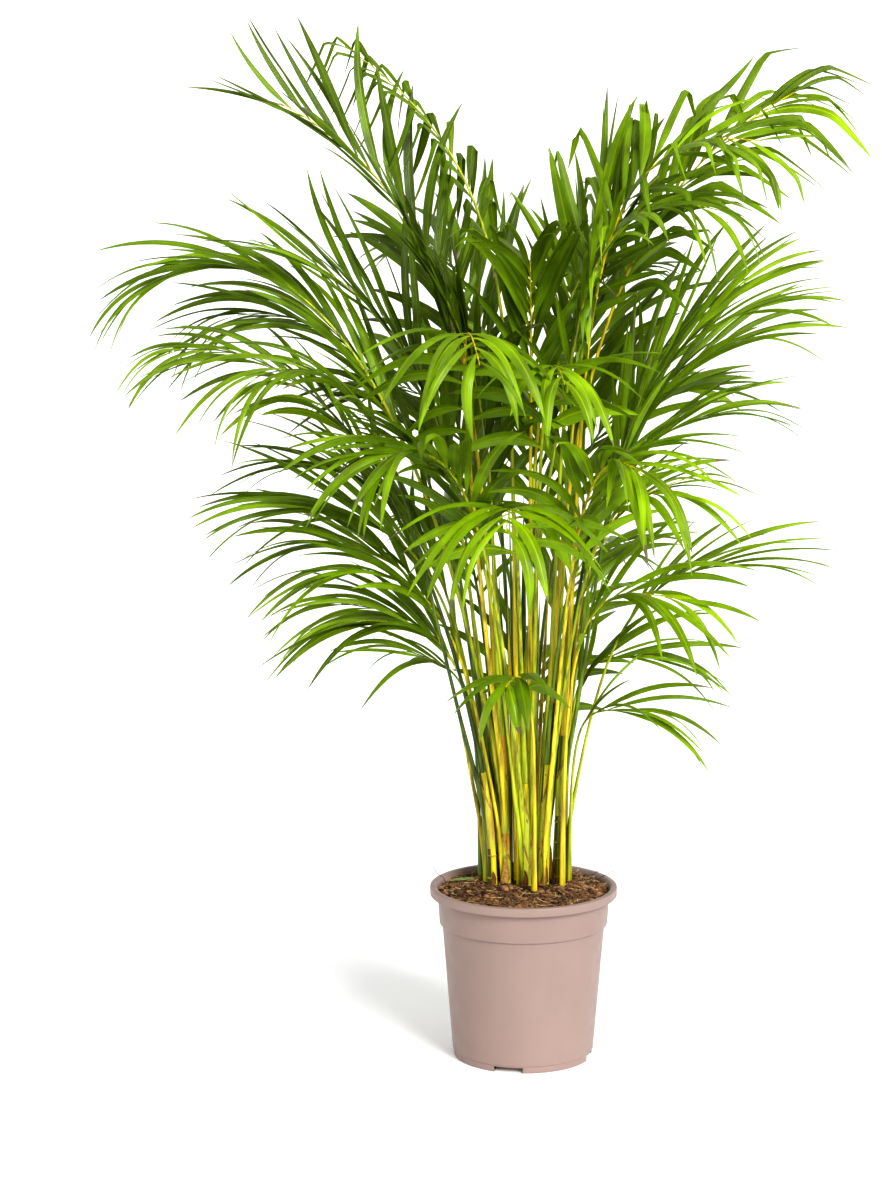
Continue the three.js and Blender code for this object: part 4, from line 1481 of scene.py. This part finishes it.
class PALM_OT_stage(Operator):
    """Lays the pale floor and sets the soft lights and the camera"""

    bl_idname = "palm.stage"
    bl_label = "Stage"

    def execute(self, context):
        stage = context.scene.palm_stage
        scene = context.scene
        bm = bmesh.new()
        bmesh.ops.create_grid(bm, x_segments=1, y_segments=1, size=FLOOR_HALF)
        floor = bpy.data.objects.new("floor", mesh_of("floor", bm))
        scene.collection.objects.link(floor)
        pale = Finish("floor_pale", stage.floor_colour, 0.9)
        pale.shader.inputs["Emission Color"].default_value = (1, 1, 1, 1)
        pale.shader.inputs["Emission Strength"].default_value = stage.floor_glow
        floor.data.materials.append(pale.material)

        key = bpy.data.lights.new("key_light", "SUN")
        key.energy, key.angle = stage.key_strength, stage.key_spread
        self.hang(scene, key, KEY_PLACE)
        fill = bpy.data.lights.new("fill_light", "AREA")
        fill.energy, fill.size = stage.fill_power, FILL_SIZE
        self.hang(scene, fill, FILL_PLACE)
        scene.world = self.surround(stage.surround, stage.horizon)
        scene.view_settings.view_transform = "Standard"
        scene.view_settings.look = "High Contrast"

        camera = bpy.data.objects.new("camera", bpy.data.cameras.new("camera"))
        camera.data.lens = stage.lens
        camera.location = (0, -stage.camera_distance, stage.camera_height)
        turn, pitch = stage.camera_turn, stage.camera_pitch
        aim = (math.sin(turn) * math.cos(pitch), math.cos(turn) * math.cos(pitch), -math.sin(pitch))
        camera.rotation_euler = Vector(aim).to_track_quat("-Z", "Y").to_euler()
        scene.collection.objects.link(camera)
        scene.camera = camera
        return {"FINISHED"}

    def surround(self, overhead, horizon):
        """A white surround that is brightest at the horizon, where the floor runs into it."""
        world = bpy.data.worlds.new("white_surround")
        world.use_nodes = True
        tree = world.node_tree
        place = tree.nodes.new("ShaderNodeTexCoord").outputs["Generated"]
        height = tree.nodes.new("ShaderNodeSeparateXYZ")
        tree.links.new(place, height.inputs[0])
        bright = tree.nodes.new("ShaderNodeMapRange")
        tree.links.new(height.outputs["Z"], bright.inputs["Value"])
        low, high = HORIZON_HEIGHTS
        ends = {"From Min": low, "From Max": high, "To Min": horizon, "To Max": overhead}
        for name, value in ends.items():
            bright.inputs[name].default_value = value
        surround = tree.nodes["Background"].inputs
        surround["Color"].default_value = (1, 1, 1, 1)
        tree.links.new(bright.outputs[0], surround["Strength"])
        return world

    def hang(self, scene, lamp, place):
        light = bpy.data.objects.new(lamp.name, lamp)
        light.location = place
        aim = LIGHT_AIM - light.location
        light.rotation_euler = aim.to_track_quat("-Z", "Y").to_euler()
        scene.collection.objects.link(light)


class PALM_PT_panel(Panel):
    """The palm's pieces, in the order in which they are made"""

    bl_idname = "PALM_PT_panel"
    bl_label = "Potted Areca Palm"
    bl_space_type = "VIEW_3D"
    bl_region_type = "UI"
    bl_category = "Palm"

    def draw(self, context):
        for group, _, operator in STEPS:
            box = self.layout.box()
            settings = getattr(context.scene, group)
            for name in type(settings).__annotations__:
                box.prop(settings, name)
            box.operator(operator.bl_idname)


# Each step's settings in the scene, their class, and its operator
STEPS = (
    ("palm_stage", PalmStage, PALM_OT_stage),
    ("palm_pot", PalmPot, PALM_OT_pot),
    ("palm_soil", PalmSoil, PALM_OT_soil),
    ("palm_canes", PalmCanes, PALM_OT_canes),
    ("palm_ribs", PalmRibs, PALM_OT_ribs),
    ("palm_leaflets", PalmLeaflets, PALM_OT_leaflets),
)
CLASSES = (*[cls for _, *pair in STEPS for cls in pair], PALM_PT_panel)


def register():
    for cls in CLASSES:
        bpy.utils.register_class(cls)
    for name, group, _ in STEPS:
        setattr(bpy.types.Scene, name, PointerProperty(type=group))


def unregister():
    for name, _, _ in STEPS:
        delattr(bpy.types.Scene, name)
    for cls in reversed(CLASSES):
        bpy.utils.unregister_class(cls)


def main():
    register()
    bpy.ops.palm.stage()
    bpy.ops.palm.pot()
    bpy.ops.palm.soil()
    bpy.ops.palm.canes()
    bpy.ops.palm.ribs()
    bpy.ops.palm.leaflets()


if __name__ == "__main__":
    main()
